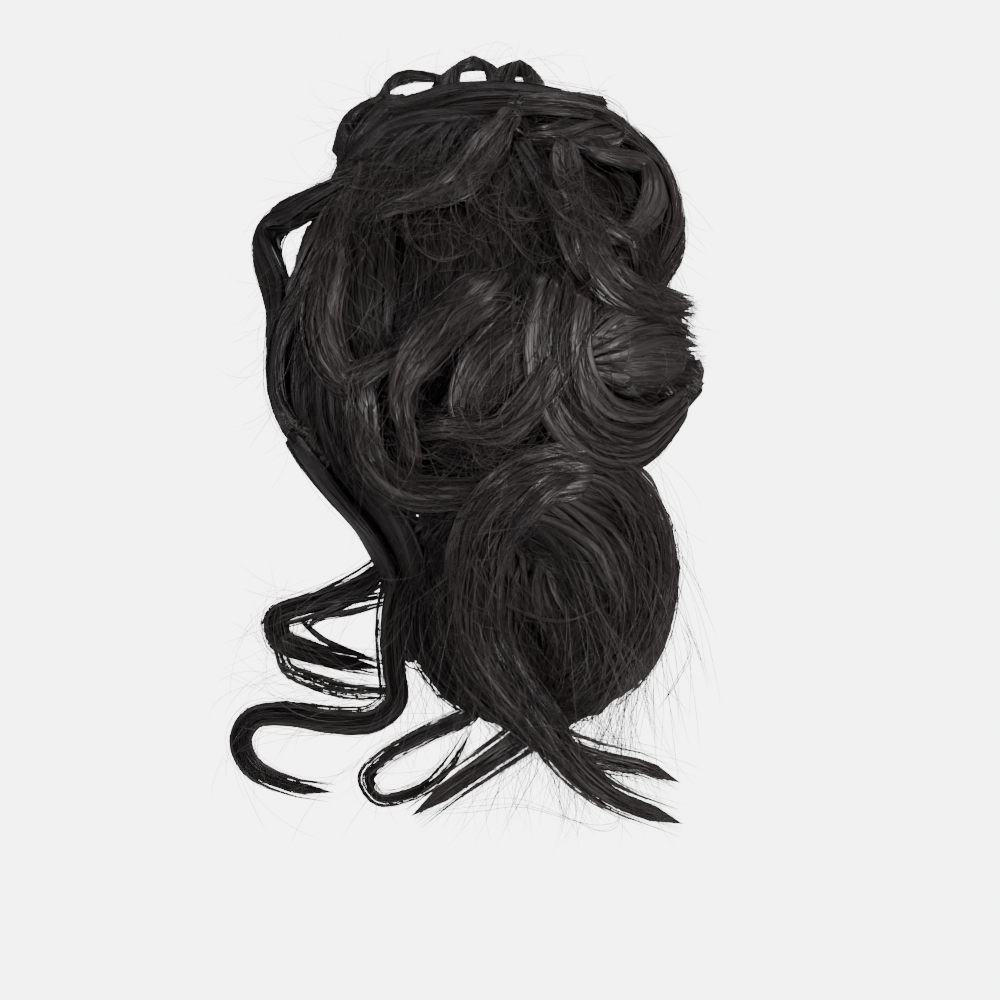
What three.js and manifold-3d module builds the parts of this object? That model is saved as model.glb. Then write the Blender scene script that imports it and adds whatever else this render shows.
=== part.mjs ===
// A top knot hairpiece: a big loose bun of dark wavy hair with curled tendrils, worn on the crown.
//
// An elastic band goes round the wearer's own small bun. The hair is sewn to the band and wound into a
// padded mass, with a pocket for that bun and a hollow seat that follows the head. Curled locks lie over
// the wound hair, a few loops stand off it, and tendrils hang from it behind the neck.
//
// The frame is the wearer's, in millimetres: the origin is the middle of the band on the scalp, X runs
// across the head, -Y points back from it and Z is up. The usual view is from behind, along +Y.

import * as THREE from "three";
import { mergeVertices } from "three/addons/utils/BufferGeometryUtils.js";
import Module from "manifold-3d";

const wasm = await Module();
wasm.setup();

// The head that it sits on, with the wearer's own hair combed flat.
const HEAD_HALF_WIDTH = 92;
const HEAD_HALF_DEPTH = 104;
const HEAD_HALF_HEIGHT = 118;
const BAND_HEIGHT = 62; // of the band's middle above the middle of the head

// The elastic band, and the pocket for the wearer's own bun.
const BAND_RADIUS = 30;
const BAND_THICKNESS = 7;
const BAND_INSET = 1.5; // of the band's middle from the scalp
const POCKET_RADIUS = 26;
const POCKET_DEPTH = 42;

// The wound hair under the locks: a bun, and a fall of hair from it down to the nape.
const BUN_HALF_WIDTH = 66;
const BUN_HALF_LENGTH = 84;
const BUN_HALF_DEPTH = 40;
const BUN_STAND_OFF = 32; // of the bun's middle from the scalp
const BUN_RISE = 5; // of the bun's middle, up along the scalp
const BUN_SHIFT = -12; // of the bun's middle, to the wearer's left
const FALL_HALF_WIDTH = 48;
const FALL_HALF_HEIGHT = 58;
const FALL_HALF_DEPTH = 25;
const FALL_SHIFT = 8; // of the fall's middle, to the wearer's right
const FALL_DROP = 82; // of the fall's middle below the band
const FALL_STAND_OFF = 9; // of the fall's middle from the back of the head
const FALL_BLEND = 12; // over which a lock passes from the bun to the fall
const SLOPE_FROM = 0.88; // of the way out to the outline, where a lock leaves the round for a straight slope

// The locks of hair.
const LOCK_WIDTH = 20;
const LOCK_THICKNESS = 10;
const LOCK_SIDES = 8;
const LOCK_STEP = 28; // along a straight lock, from one ring of its mesh to the next
const LOCK_TURN = 30; // of a curled lock from one ring to the next, in degrees
const HANG_DEPTH = 40; // of a hanging tendril behind the band
const GAP = 0.4; // between neighbouring pieces

// The band's place on the head gives the way out of the scalp there, and up along it.
const bandShare = BAND_HEIGHT / HEAD_HALF_HEIGHT;
const headCentre = new THREE.Vector3(0, HEAD_HALF_DEPTH * Math.sqrt(1 - bandShare ** 2), -BAND_HEIGHT);
const sideways = new THREE.Vector3(1, 0, 0);
const outward = new THREE.Vector3(0, -headCentre.y / HEAD_HALF_DEPTH ** 2, BAND_HEIGHT / HEAD_HALF_HEIGHT ** 2);
outward.normalize();
const upward = new THREE.Vector3().crossVectors(outward, sideways);

// An ellipsoid is kept as its middle, its three axes and its half lengths along them.
const plainAxes = [sideways, new THREE.Vector3(0, 1, 0), new THREE.Vector3(0, 0, 1)];
const head = {
  centre: headCentre,
  axes: plainAxes,
  half: [HEAD_HALF_WIDTH, HEAD_HALF_DEPTH, HEAD_HALF_HEIGHT],
};
const bun = {
  centre: outward.clone().multiplyScalar(BUN_STAND_OFF).addScaledVector(upward, BUN_RISE).setX(BUN_SHIFT),
  axes: [sideways, upward, outward],
  half: [BUN_HALF_WIDTH, BUN_HALF_LENGTH, BUN_HALF_DEPTH],
};
const fall = {
  centre: new THREE.Vector3(FALL_SHIFT, backOfHead(-FALL_DROP) - FALL_STAND_OFF, -FALL_DROP),
  axes: plainAxes,
  half: [FALL_HALF_WIDTH, FALL_HALF_DEPTH, FALL_HALF_HEIGHT],
};

// Y of the back of the head at a height.
function backOfHead(z) {
  return headCentre.y - HEAD_HALF_DEPTH * Math.sqrt(1 - ((z - headCentre.z) / HEAD_HALF_HEIGHT) ** 2);
}

// The bun's reach above its middle, seen from behind, which the locks' heights are shares of.
const bunReachUp = Math.hypot(BUN_HALF_LENGTH * upward.z, BUN_HALF_DEPTH * outward.z);
const acrossBun = (share) => bun.centre.x + share * BUN_HALF_WIDTH;
const upBun = (share) => bun.centre.z + share * bunReachUp;

// Locks on the side that shows from behind. Each runs through a few places, root first. A place is how
// far across and how far up it lies from the bun's middle, as shares of the bun's half width and of its
// reach upward. Lift is how high the lock's middle rides over the wound hair at its root and its tip, in
// lock thicknesses. Wide and thick are shares of the lock sizes, and tip is the share of its section
// that is left at its tip.
const LOCKS = [
  { name: "crown_edge_lock", lift: [0.5, 0.5], wide: 1.3, thick: 1.7, tip: 0.4,
    through: [[0.67, 1.10], [0.24, 1.12], [-0.18, 1.11], [-0.56, 1.00]] },
  { name: "crown_right_lock", lift: [0.5, 0.5], wide: 1.0, thick: 0.9, tip: 0.4,
    through: [[0.15, 1.08], [0.48, 1.07], [0.79, 1.02], [1.01, 0.82]] },
  { name: "crown_left_lock", lift: [0.5, 0.5], wide: 1.3, thick: 0.9, tip: 0.4,
    through: [[-0.15, 1.05], [-0.44, 0.86], [-0.62, 0.63], [-0.67, 0.36]] },
  { name: "crown_middle_lock", lift: [0.5, 0.5], wide: 1.3, thick: 0.9, tip: 0.4,
    through: [[0.04, 1.08], [-0.18, 0.79], [-0.32, 0.51], [-0.28, 0.20]] },
  { name: "right_outer_curl", lift: [0.6, 0.6], wide: 1.4, thick: 1.2, tip: 0.4,
    through: [[0.45, 0.92], [0.80, 0.98], [1.07, 0.76], [1.15, 0.45], [1.02, 0.18]] },
  { name: "right_fall", lift: [0.5, 0.5], wide: 1.5, thick: 0.9, tip: 0.4,
    through: [[0.24, 0.84], [0.44, 0.48], [0.57, 0.10], [0.80, -0.19]] },
  { name: "left_outer_fall", lift: [0.5, 0.5], wide: 1.5, thick: 1.0, tip: 0.4,
    through: [[-0.76, 0.79], [-0.92, 0.44], [-1.06, 0.08], [-1.10, -0.23], [-1.00, -0.50]] },
  { name: "left_inner_fall", lift: [0.6, 0.5], wide: 1.4, thick: 1.0, tip: 0.4,
    through: [[-0.65, 0.49], [-0.67, 0.18], [-0.64, -0.10], [-0.52, -0.37]] },
  { name: "centre_fall", lift: [0.6, 0.7], wide: 1.1, thick: 0.9, tip: 0.4,
    through: [[0.04, 0.96], [0.09, 0.47], [0.24, 0.09], [0.39, -0.21], [0.43, -0.57]] },
  { name: "centre_left_fall", lift: [0.6, 0.6], wide: 1.3, thick: 0.9, tip: 0.4,
    through: [[-0.15, 0.37], [-0.15, 0.11], [-0.21, -0.13], [-0.44, -0.37]] },
  { name: "left_under_fall", lift: [0.5, 0.5], wide: 1.4, thick: 0.9, tip: 0.4,
    through: [[-0.90, -0.24], [-0.85, -0.56], [-0.70, -0.82], [-0.40, -1.02]] },
  { name: "lower_cover_lock", lift: [0.5, 0.5], wide: 1.5, thick: 0.9, tip: 0.4,
    through: [[0.80, -0.69], [0.40, -0.71], [0.01, -0.70], [-0.32, -0.64]] },
  { name: "nape_under_lock", lift: [0.5, 0.4], wide: 1.6, thick: 0.9, tip: 0.4,
    through: [[-0.09, -0.95], [-0.26, -1.25], [-0.31, -1.57], [-0.17, -1.87]] },
  { name: "nape_middle_lock", lift: [0.5, 0.5], wide: 1.5, thick: 0.9, tip: 0.4,
    through: [[0.12, -1.02], [0.08, -1.32], [0.12, -1.59], [0.29, -1.87]] },
  { name: "nape_right_lock", lift: [0.5, 0.4], wide: 1.6, thick: 0.9, tip: 0.4,
    through: [[0.46, -1.02], [0.46, -1.32], [0.50, -1.62], [0.44, -1.90]] },
  { name: "nape_edge_lock", lift: [0.5, 0.4], wide: 1.5, thick: 0.9, tip: 0.4,
    through: [[0.75, -1.07], [0.88, -1.35], [0.82, -1.62], [0.65, -1.87]] },
  { name: "right_roll", lift: [1.2, 1.0], wide: 1.9, thick: 1.5, tip: 0.6,
    through: [[0.62, -0.22], [0.91, -0.17], [1.22, -0.18]] },
  { name: "right_swirl", lift: [1.0, 1.0], wide: 1.2, thick: 1.1, tip: 0.4,
    through: [[0.49, 0.06], [0.46, -0.28], [0.63, -0.58], [0.96, -0.61], [1.21, -0.38]] },
  { name: "right_sweep", lift: [1.6, 1.4], wide: 1.0, thick: 0.9, tip: 0.4,
    through: [[0.54, 0.48], [0.64, 0.23], [0.86, 0.07], [1.24, 0.05]] },
  { name: "right_inner_ring", lift: [1.6, 1.5], wide: 0.55, thick: 0.7, tip: 0.4,
    through: [[0.73, 0.81], [0.97, 0.78], [1.02, 0.58], [0.86, 0.38], [0.66, 0.35]] },
  { name: "right_inner_strand", lift: [1.6, 1.7], wide: 0.6, thick: 0.6, tip: 0.4,
    through: [[0.50, 0.84], [0.52, 0.64], [0.65, 0.47], [0.85, 0.35]] },
  { name: "crown_swoop", lift: [1.3, 1.2], wide: 0.8, thick: 0.8, tip: 0.4,
    through: [[0.17, 1.02], [0.03, 0.80], [-0.16, 0.61], [-0.48, 0.51]] },
  { name: "left_u_curl", lift: [1.3, 1.2], wide: 0.9, thick: 0.8, tip: 0.4,
    through: [[-0.83, 0.24], [-0.88, -0.08], [-0.73, -0.34], [-0.50, -0.26]] },
  { name: "left_centre_lock", lift: [1.3, 1.2], wide: 1.0, thick: 0.9, tip: 0.4,
    through: [[-0.00, 0.03], [-0.26, -0.18], [-0.41, -0.41], [-0.37, -0.64]] },
  { name: "centre_curl", lift: [1.4, 1.3], wide: 1.3, thick: 1.0, tip: 0.4,
    through: [[0.31, -0.12], [0.08, -0.30], [-0.04, -0.49], [0.04, -0.68]] },
  { name: "centre_hook", lift: [1.9, 1.6], wide: 0.65, thick: 0.7, tip: 0.4,
    through: [[0.40, -0.32], [0.28, -0.48], [0.11, -0.60], [-0.14, -0.59]] },
  { name: "lower_left_sweep", lift: [1.1, 1.1], wide: 0.8, thick: 0.8, tip: 0.3,
    through: [[-0.64, -0.45], [-0.60, -0.71], [-0.42, -0.87], [-0.14, -0.90], [0.17, -0.86]] },
  { name: "left_loop", lift: [0.6, 0.4], wide: 0.8, thick: 1.2, tip: 0.4,
    through: [[-0.77, 0.78], [-1.01, 0.63], [-1.21, 0.56], [-1.27, 0.40], [-1.20, 0.24],
      [-1.16, 0.06], [-1.20, -0.18], [-1.20, -0.42], [-1.09, -0.60]] },
  { name: "left_bulge", lift: [0.4, 0.4], wide: 0.8, thick: 1, tip: 0.6,
    through: [[-0.56, 1.15], [-0.74, 1.06], [-0.81, 0.95], [-0.72, 0.82]] },
  { name: "top_loop_1", lift: [0.3, 0.3], wide: 0.6, thick: 0.32, tip: 0.7,
    through: [[-0.60, 1.15], [-0.56, 1.26], [-0.46, 1.32], [-0.31, 1.32], [-0.21, 1.22]] },
  { name: "top_loop_2", lift: [0.3, 0.3], wide: 0.6, thick: 0.32, tip: 0.7,
    through: [[-0.24, 1.22], [-0.17, 1.35], [-0.05, 1.40], [0.06, 1.35], [0.12, 1.23]] },
  { name: "top_loop_3", lift: [0.3, 0.3], wide: 0.6, thick: 0.5, tip: 0.7,
    through: [[0.09, 1.23], [0.13, 1.34], [0.21, 1.37], [0.30, 1.34], [0.35, 1.22]] },
];

// Tendrils that hang free. The third number of a place is how far it lies behind the band, as a share
// of the hang depth. They lie flat towards the viewer.
const TENDRILS = [
  { name: "swirl_tendril", wide: 0.9, thick: 0.6, tip: 0.3,
    through: [[0.28, -0.95, 2.1], [0.45, -0.79, 2.15], [0.71, -0.80, 1.9], [0.91, -0.97, 1.5],
      [0.99, -1.22, 1.25], [0.93, -1.49, 1.22], [0.74, -1.76, 1.25], [0.51, -1.93, 1.22],
      [0.31, -2.07, 1.12], [0.06, -2.23, 1], [-0.17, -2.37, 0.9], [-0.40, -2.52, 0.8]] },
  { name: "inner_s_tendril", wide: 0.7, thick: 0.6, tip: 0.6,
    through: [[0.04, -1.02, 2.05], [-0.09, -1.27, 1.5], [-0.12, -1.51, 1.42], [-0.04, -1.75, 1.4],
      [0.17, -1.93, 1.45], [0.39, -2.09, 1.45], [0.67, -2.19, 1.35], [0.93, -2.24, 1.25],
      [1.16, -2.33, 1.15]] },
  { name: "long_s_tendril", wide: 0.85, thick: 0.6, tip: 0.2,
    through: [[0.63, -0.69, 1.95], [0.48, -0.78, 2.2], [0.28, -0.90, 2.4], [0.09, -1.09, 2.25],
      [0.02, -1.36, 1.85], [0.03, -1.60, 1.8], [0.15, -1.79, 1.8], [0.34, -1.99, 1.8],
      [0.54, -2.22, 1.7], [0.77, -2.38, 1.5], [0.97, -2.46, 1.35], [1.17, -2.53, 1.2]] },
  { name: "left_s_tendril", wide: 0.55, thick: 0.45, tip: 0.2,
    through: [[-0.23, -0.95, 2.05], [-0.44, -1.22, 1.25], [-0.52, -1.52, 1.1], [-0.51, -1.77, 1],
      [-0.50, -1.93, 0.95], [-0.62, -2.02, 0.9], [-0.87, -2.03, 0.85], [-1.11, -2.00, 0.82],
      [-1.31, -2.02, 0.78], [-1.39, -2.13, 0.74], [-1.33, -2.27, 0.7], [-1.11, -2.37, 0.65],
      [-0.85, -2.41, 0.6]] },
  { name: "mid_loop_tendril", wide: 0.4, thick: 0.35, tip: 0.3,
    through: [[-0.18, -1.05, 1.9], [-0.35, -1.37, 1.27], [-0.37, -1.62, 1.18],
      [-0.23, -1.83, 1.15], [-0.05, -1.98, 1.08], [-0.28, -2.08, 1], [-0.53, -2.20, 0.9],
      [-0.66, -2.32, 0.85], [-0.58, -2.43, 0.8], [-0.32, -2.38, 0.75], [-0.14, -2.22, 0.7],
      [-0.03, -2.08, 0.55]] },
  { name: "ear_tendril", wide: 0.6, thick: 0.4, tip: 0.4,
    through: [[-0.37, -1.07, 1.65], [-0.60, -1.29, 0.9], [-0.92, -1.44, 0.7], [-1.19, -1.52, 0.6],
      [-1.18, -1.64, 0.55], [-1.03, -1.70, 0.5], [-0.79, -1.75, 0.5], [-0.56, -1.79, 0.45]] },
  { name: "cheek_tendril", wide: 0.35, thick: 0.35, tip: 0.4,
    through: [[-0.46, -1.87, 0.98], [-0.55, -1.89, 0.85], [-0.77, -1.89, 0.72],
      [-0.98, -1.84, 0.68], [-1.12, -1.78, 0.68], [-1.17, -1.67, 0.74], [-1.21, -1.58, 0.8]] },
];

// Plain locks over the bun's hidden upper and front side, which run from the seat up towards the top.
// Angles are in degrees: round the bun's axis from the wearer's right, and away from the axis.
const FRONT_LOCKS = {
  count: 9,
  firstAngle: -24,
  lastAngle: 196,
  twist: 34,
  rootPolar: 118,
  tipPolar: 66,
  lift: 0.5,
  wide: 1.25,
  thick: 0.9,
  tip: 0.5,
};

// The share of a lock's full section at a share of its way from root to tip.
const ROOT_SECTION = 0.6;
const ROOT_STRETCH = 0.2; // of the lock, over which it fills out
const TIP_STRETCH = 0.5; // of the lock, over which it thins to its tip
function sectionAt(share, tip) {
  const filled = THREE.MathUtils.lerp(ROOT_SECTION, 1, THREE.MathUtils.smoothstep(share, 0, ROOT_STRETCH));
  return filled * THREE.MathUtils.lerp(1, tip, THREE.MathUtils.smoothstep(share, 1 - TIP_STRETCH, 1));
}

// Where the line along Y through x and z meets an ellipsoid grown by an amount, on the side that faces
// back, and which way the ellipsoid faces there. The reach is the share of the way out to its outline.
// From near the outline on, the place keeps to a straight slope, so that a lock passes smoothly over it.
function backFace(body, x, z, grow) {
  const start = new THREE.Vector3(x - body.centre.x, 0, z - body.centre.z);
  let [square, mixed, flat] = [0, 0, 0];
  body.axes.forEach((axis, i) => {
    const half = body.half[i] + grow;
    square += (axis.y / half) ** 2;
    mixed += (axis.y * start.dot(axis)) / half ** 2;
    flat += (start.dot(axis) / half) ** 2;
  });
  const reach = Math.sqrt(flat - mixed ** 2 / square);
  const edge = Math.min(reach, SLOPE_FROM);
  const height = Math.sqrt(1 - edge ** 2);
  const bulge = (height - (edge / height) * (reach - edge)) / Math.sqrt(square);
  const y = body.centre.y - mixed / square / Math.max(1, reach) - bulge;
  return { y, normal: outOf(body, new THREE.Vector3(x, y, z), grow) };
}

// The way out of a grown ellipsoid at a point.
function outOf(body, point, grow) {
  const from = point.clone().sub(body.centre);
  const out = new THREE.Vector3();
  body.axes.forEach((axis, i) => out.addScaledVector(axis, from.dot(axis) / (body.half[i] + grow) ** 2));
  return out.normalize();
}

// A place over the wound hair: the bun's back face and the fall's, blended where they meet.
function overHair(x, z, grow) {
  const onBun = backFace(bun, x, z, grow);
  const onFall = backFace(fall, x, z, grow);
  const share = THREE.MathUtils.clamp(0.5 + (onFall.y - onBun.y) / (2 * FALL_BLEND), 0, 1);
  const y = THREE.MathUtils.lerp(onFall.y, onBun.y, share) - FALL_BLEND * share * (1 - share);
  const normal = onFall.normal.clone().lerp(onBun.normal, share).normalize();
  return { point: new THREE.Vector3(x, y, z), normal };
}

// The route of a lock over the wound hair, as a place and a facing at each share of the way.
function routeOver(row) {
  const route = new THREE.SplineCurve(row.through.map(([across, up]) => new THREE.Vector2(acrossBun(across), upBun(up))));
  return (share) => {
    const at = route.getPoint(share);
    return overHair(at.x, at.y, THREE.MathUtils.lerp(row.lift[0], row.lift[1], share) * LOCK_THICKNESS);
  };
}

// The route of a hanging tendril.
function routeHanging(row) {
  const route = new THREE.CatmullRomCurve3(
    row.through.map(([across, up, behind]) => new THREE.Vector3(acrossBun(across), -behind * HANG_DEPTH, upBun(up))),
  );
  return (share) => ({ point: route.getPoint(share), normal: new THREE.Vector3(0, -1, 0) });
}

// The route of a lock on the bun's hidden side.
function routeInFront(row) {
  return (share) => {
    const turn = THREE.MathUtils.degToRad(row.angle + row.twist * share);
    const polar = THREE.MathUtils.degToRad(THREE.MathUtils.lerp(row.rootPolar, row.tipPolar, share));
    const way = [Math.sin(polar) * Math.cos(turn), Math.sin(polar) * Math.sin(turn), Math.cos(polar)];
    const grow = row.lift * LOCK_THICKNESS;
    const point = bun.centre.clone();
    bun.axes.forEach((axis, i) => point.addScaledVector(axis, way[i] * (bun.half[i] + grow)));
    return { point, normal: outOf(bun, point, grow) };
  };
}

// Rings along a route, closer together where it curls. The route is first followed in small steps,
// and each step counts for its length and for its turn.
const ROUTE_STEPS = 240;
const FEWEST_RINGS = 4;
function ringsAlong(placeAt) {
  const places = Array.from({ length: ROUTE_STEPS + 1 }, (_, i) => placeAt(i / ROUTE_STEPS));
  places.forEach((place, i) => {
    const before = places[Math.max(0, i - 1)];
    const after = places[Math.min(ROUTE_STEPS, i + 1)];
    place.along = new THREE.Vector3().subVectors(after.point, before.point).normalize();
    place.across = new THREE.Vector3().crossVectors(place.normal, place.along).normalize();
    place.out = new THREE.Vector3().crossVectors(place.along, place.across);
  });
  let [length, count] = [0, 0];
  places.forEach((place, i) => {
    if (i > 0) {
      const step = place.point.distanceTo(places[i - 1].point);
      const turn = THREE.MathUtils.radToDeg(place.along.angleTo(places[i - 1].along));
      length += step;
      count += step / LOCK_STEP + turn / LOCK_TURN;
    }
    Object.assign(place, { length, count });
  });
  const rings = Math.max(FEWEST_RINGS, Math.round(count));
  return Array.from({ length: rings + 1 }, (_, i) => {
    const place = places.find((each) => each.count >= (count * i) / rings) ?? places.at(-1);
    return { ...place, share: place.length / length };
  });
}

// A closed tube of hair with an oval section, pointed at both ends. Grow adds to it all round.
const END_POINT = 0.35; // of the section's width, by which each end runs out to a point
function lockGeometry(rings, row, grow) {
  const positions = [];
  const triangles = [];
  const halfWidth = (row.wide * LOCK_WIDTH) / 2;
  const halfThickness = (row.thick * LOCK_THICKNESS) / 2;
  rings.forEach((ring) => {
    const section = sectionAt(ring.share, row.tip);
    for (let side = 0; side < LOCK_SIDES; side += 1) {
      const angle = (2 * Math.PI * side) / LOCK_SIDES;
      const point = ring.point.clone();
      point.addScaledVector(ring.across, Math.cos(angle) * (halfWidth * section + grow));
      point.addScaledVector(ring.out, Math.sin(angle) * (halfThickness * section + grow));
      positions.push(point.x, point.y, point.z);
    }
  });
  for (let i = 0; i + 1 < rings.length; i += 1) {
    for (let side = 0; side < LOCK_SIDES; side += 1) {
      const next = (side + 1) % LOCK_SIDES;
      const [a, b] = [i * LOCK_SIDES + side, i * LOCK_SIDES + next];
      triangles.push(a, b, a + LOCK_SIDES, b, b + LOCK_SIDES, a + LOCK_SIDES);
    }
  }
  [[rings[0], -1, 0], [rings.at(-1), 1, rings.length - 1]].forEach(([ring, way, index]) => {
    const reach = END_POINT * halfWidth * sectionAt(ring.share, row.tip) + grow;
    const end = ring.point.clone().addScaledVector(ring.along, way * reach);
    const tip = positions.length / 3;
    positions.push(end.x, end.y, end.z);
    for (let side = 0; side < LOCK_SIDES; side += 1) {
      const next = (side + 1) % LOCK_SIDES;
      const [a, b] = [index * LOCK_SIDES + side, index * LOCK_SIDES + next];
      triangles.push(...(way < 0 ? [tip, b, a] : [tip, a, b]));
    }
  });
  const geometry = new THREE.BufferGeometry();
  geometry.setAttribute("position", new THREE.Float32BufferAttribute(positions, 3));
  geometry.setIndex(triangles);
  return geometry;
}

// A sphere pulled to an ellipsoid's half lengths and turned to its axes.
const ROUND_SEGMENTS = 22;
const RISE_SEGMENTS = 12;
function ellipsoidGeometry(body, grow) {
  const geometry = new THREE.SphereGeometry(1, ROUND_SEGMENTS, RISE_SEGMENTS);
  geometry.scale(...body.half.map((half) => half + grow));
  geometry.applyMatrix4(new THREE.Matrix4().makeBasis(...body.axes).setPosition(body.centre));
  return geometry;
}

// A solid of the boolean library from a closed mesh, and back.
const WELD = 1e-3;
function solidOf(geometry) {
  const bare = new THREE.BufferGeometry();
  bare.setAttribute("position", geometry.getAttribute("position"));
  bare.setIndex(geometry.getIndex());
  const merged = mergeVertices(bare, WELD);
  return new wasm.Manifold(
    new wasm.Mesh({
      numProp: 3,
      vertProperties: new Float32Array(merged.attributes.position.array),
      triVerts: new Uint32Array(merged.index.array),
    }),
  );
}

function geometryOf(solid) {
  const mesh = solid.getMesh();
  const geometry = new THREE.BufferGeometry();
  geometry.setAttribute("position", new THREE.Float32BufferAttribute(mesh.vertProperties, 3));
  geometry.setIndex(new THREE.Uint32BufferAttribute(mesh.triVerts, 1));
  return geometry;
}

// The largest body of a solid that a cut may have left in pieces, without the finest slivers.
const SLIVER = 0.06;
function mainBody(solid) {
  const bodies = solid.simplify(SLIVER).decompose();
  return bodies.reduce((best, body) => (body.volume() > best.volume() ? body : best));
}

// A profile of radius and depth pairs, turned round the band's axis. Depth runs outward from the scalp.
const TURN_SEGMENTS = 20;
function turned(profile, segments = TURN_SEGMENTS) {
  const points = profile.map(([radius, depth]) => new THREE.Vector2(radius, depth));
  const geometry = new THREE.LatheGeometry(points, segments);
  return geometry.applyMatrix4(new THREE.Matrix4().makeBasis(upward, outward, sideways));
}

// The covered elastic band, as a round ring.
const BAND_FACETS = 8;
function bandProfile(grow) {
  const radius = BAND_THICKNESS / 2 + grow;
  return Array.from({ length: BAND_FACETS + 1 }, (_, i) => {
    const angle = (2 * Math.PI * i) / BAND_FACETS;
    return [BAND_RADIUS + radius * Math.cos(angle), BAND_INSET + radius * Math.sin(angle)];
  });
}

// The seat for the band, and the pocket for the wearer's own bun, which has flat sides. Both start well
// inside the head, so that the mouth is open. The cover space is all that lies beyond the pocket's end.
const POCKET_SIDES = 8;
const mouthDepth = -BUN_HALF_DEPTH;
const columnProfile = (radius, from, to) => [[0, from], [radius, from], [radius, to], [0, to]];
const seatProfile = columnProfile(BAND_RADIUS + BAND_THICKNESS / 2 + GAP, mouthDepth, BAND_INSET + BAND_THICKNESS / 2 + GAP);
const pocketProfile = columnProfile(POCKET_RADIUS / Math.cos(Math.PI / POCKET_SIDES), mouthDepth, POCKET_DEPTH);
const coverProfile = columnProfile(2 * BUN_HALF_LENGTH, POCKET_DEPTH, 2 * BUN_HALF_LENGTH);

// Finishes, one for each kind of piece.
const hairFinish = { color: 0x17130f, roughness: 0.42, metalness: 0 };
const bandFinish = { color: 0x141414, roughness: 0.85, metalness: 0 };

const hairpiece = new THREE.Group();
function addPiece(name, solid, finish) {
  const mesh = new THREE.Mesh(geometryOf(solid), new THREE.MeshStandardMaterial(finish));
  mesh.name = name;
  hairpiece.add(mesh);
}

// The wound hair is hollowed by the head, by the band's seat and by the pocket. It is a ring round the
// pocket and a cover over the ring. The nape hair is hollowed by the head and by the bun that it hangs from.
const headSpace = solidOf(ellipsoidGeometry(head, GAP));
const bunSpace = solidOf(ellipsoidGeometry(bun, GAP));
const pocketSpace = solidOf(turned(seatProfile)).add(solidOf(turned(pocketProfile, POCKET_SIDES)));
const coverSpace = solidOf(turned(coverProfile));
const bunSolid = solidOf(ellipsoidGeometry(bun, 0)).subtract(headSpace);
const coverGap = outward.clone().multiplyScalar(GAP).toArray();
addPiece("wound_ring", mainBody(bunSolid.subtract(pocketSpace).subtract(coverSpace)), hairFinish);
addPiece("wound_cover", mainBody(bunSolid.intersect(coverSpace.translate(coverGap))), hairFinish);
addPiece("nape_hair", mainBody(solidOf(ellipsoidGeometry(fall, 0)).subtract(headSpace).subtract(bunSpace)), hairFinish);
addPiece("elastic_band", solidOf(turned(bandProfile(0))), bandFinish);

// Each lock is cut clear of the head, of the wound hair and of the locks that lie under it.
const placed = [headSpace, bunSpace, solidOf(ellipsoidGeometry(fall, GAP))];
function addLock(row, placeAt) {
  const rings = ringsAlong(placeAt);
  const whole = solidOf(lockGeometry(rings, row, 0));
  const lock = mainBody(wasm.Manifold.difference([whole, ...placed.filter((other) => boxesMeet(whole, other))]));
  addPiece(row.name, lock, hairFinish);
  placed.push(solidOf(lockGeometry(rings, row, GAP)), lock);
}

function boxesMeet(one, other) {
  const [a, b] = [one.boundingBox(), other.boundingBox()];
  return [0, 1, 2].every((i) => a.min[i] < b.max[i] && b.min[i] < a.max[i]);
}

LOCKS.forEach((row) => addLock(row, routeOver(row)));
TENDRILS.forEach((row) => addLock(row, routeHanging(row)));

for (let i = 0; i < FRONT_LOCKS.count; i += 1) {
  const angle = THREE.MathUtils.lerp(FRONT_LOCKS.firstAngle, FRONT_LOCKS.lastAngle, i / (FRONT_LOCKS.count - 1));
  const row = { ...FRONT_LOCKS, name: `front_lock_${i + 1}`, angle };
  addLock(row, routeInFront(row));
}

export default hairpiece;
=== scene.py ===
"""A top knot hairpiece: a large loose bun of black-brown wavy hair on an elastic band, with curled
tendrils behind the neck, held up as the head that wears it holds it.

Places follow the part's own frame: the origin is the middle of the band on the scalp, X runs across
the head, -Y points back from it and Z is up. Shapes are worked out in millimetres, and become metres
as they are put into meshes.
"""
import math

import bpy
import numpy as np
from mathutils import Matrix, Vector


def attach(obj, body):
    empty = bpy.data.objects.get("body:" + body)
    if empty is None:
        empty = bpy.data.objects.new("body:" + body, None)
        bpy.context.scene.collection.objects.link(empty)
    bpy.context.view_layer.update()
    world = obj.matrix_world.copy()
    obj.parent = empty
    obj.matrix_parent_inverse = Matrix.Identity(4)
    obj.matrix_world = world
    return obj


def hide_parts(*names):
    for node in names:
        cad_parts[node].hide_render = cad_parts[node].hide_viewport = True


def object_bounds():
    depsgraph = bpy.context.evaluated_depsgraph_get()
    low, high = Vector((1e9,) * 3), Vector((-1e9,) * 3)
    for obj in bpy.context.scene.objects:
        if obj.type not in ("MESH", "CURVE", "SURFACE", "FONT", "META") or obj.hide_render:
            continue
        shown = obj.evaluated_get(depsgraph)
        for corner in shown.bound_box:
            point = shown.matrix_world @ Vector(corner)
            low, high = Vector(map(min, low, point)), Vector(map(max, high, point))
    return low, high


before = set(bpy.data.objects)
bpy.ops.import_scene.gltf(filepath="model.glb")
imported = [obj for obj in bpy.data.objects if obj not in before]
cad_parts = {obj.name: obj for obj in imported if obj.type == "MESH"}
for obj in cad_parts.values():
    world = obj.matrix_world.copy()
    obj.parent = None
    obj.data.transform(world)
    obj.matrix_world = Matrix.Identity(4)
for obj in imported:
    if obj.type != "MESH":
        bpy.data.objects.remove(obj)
cad_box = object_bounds()

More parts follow.
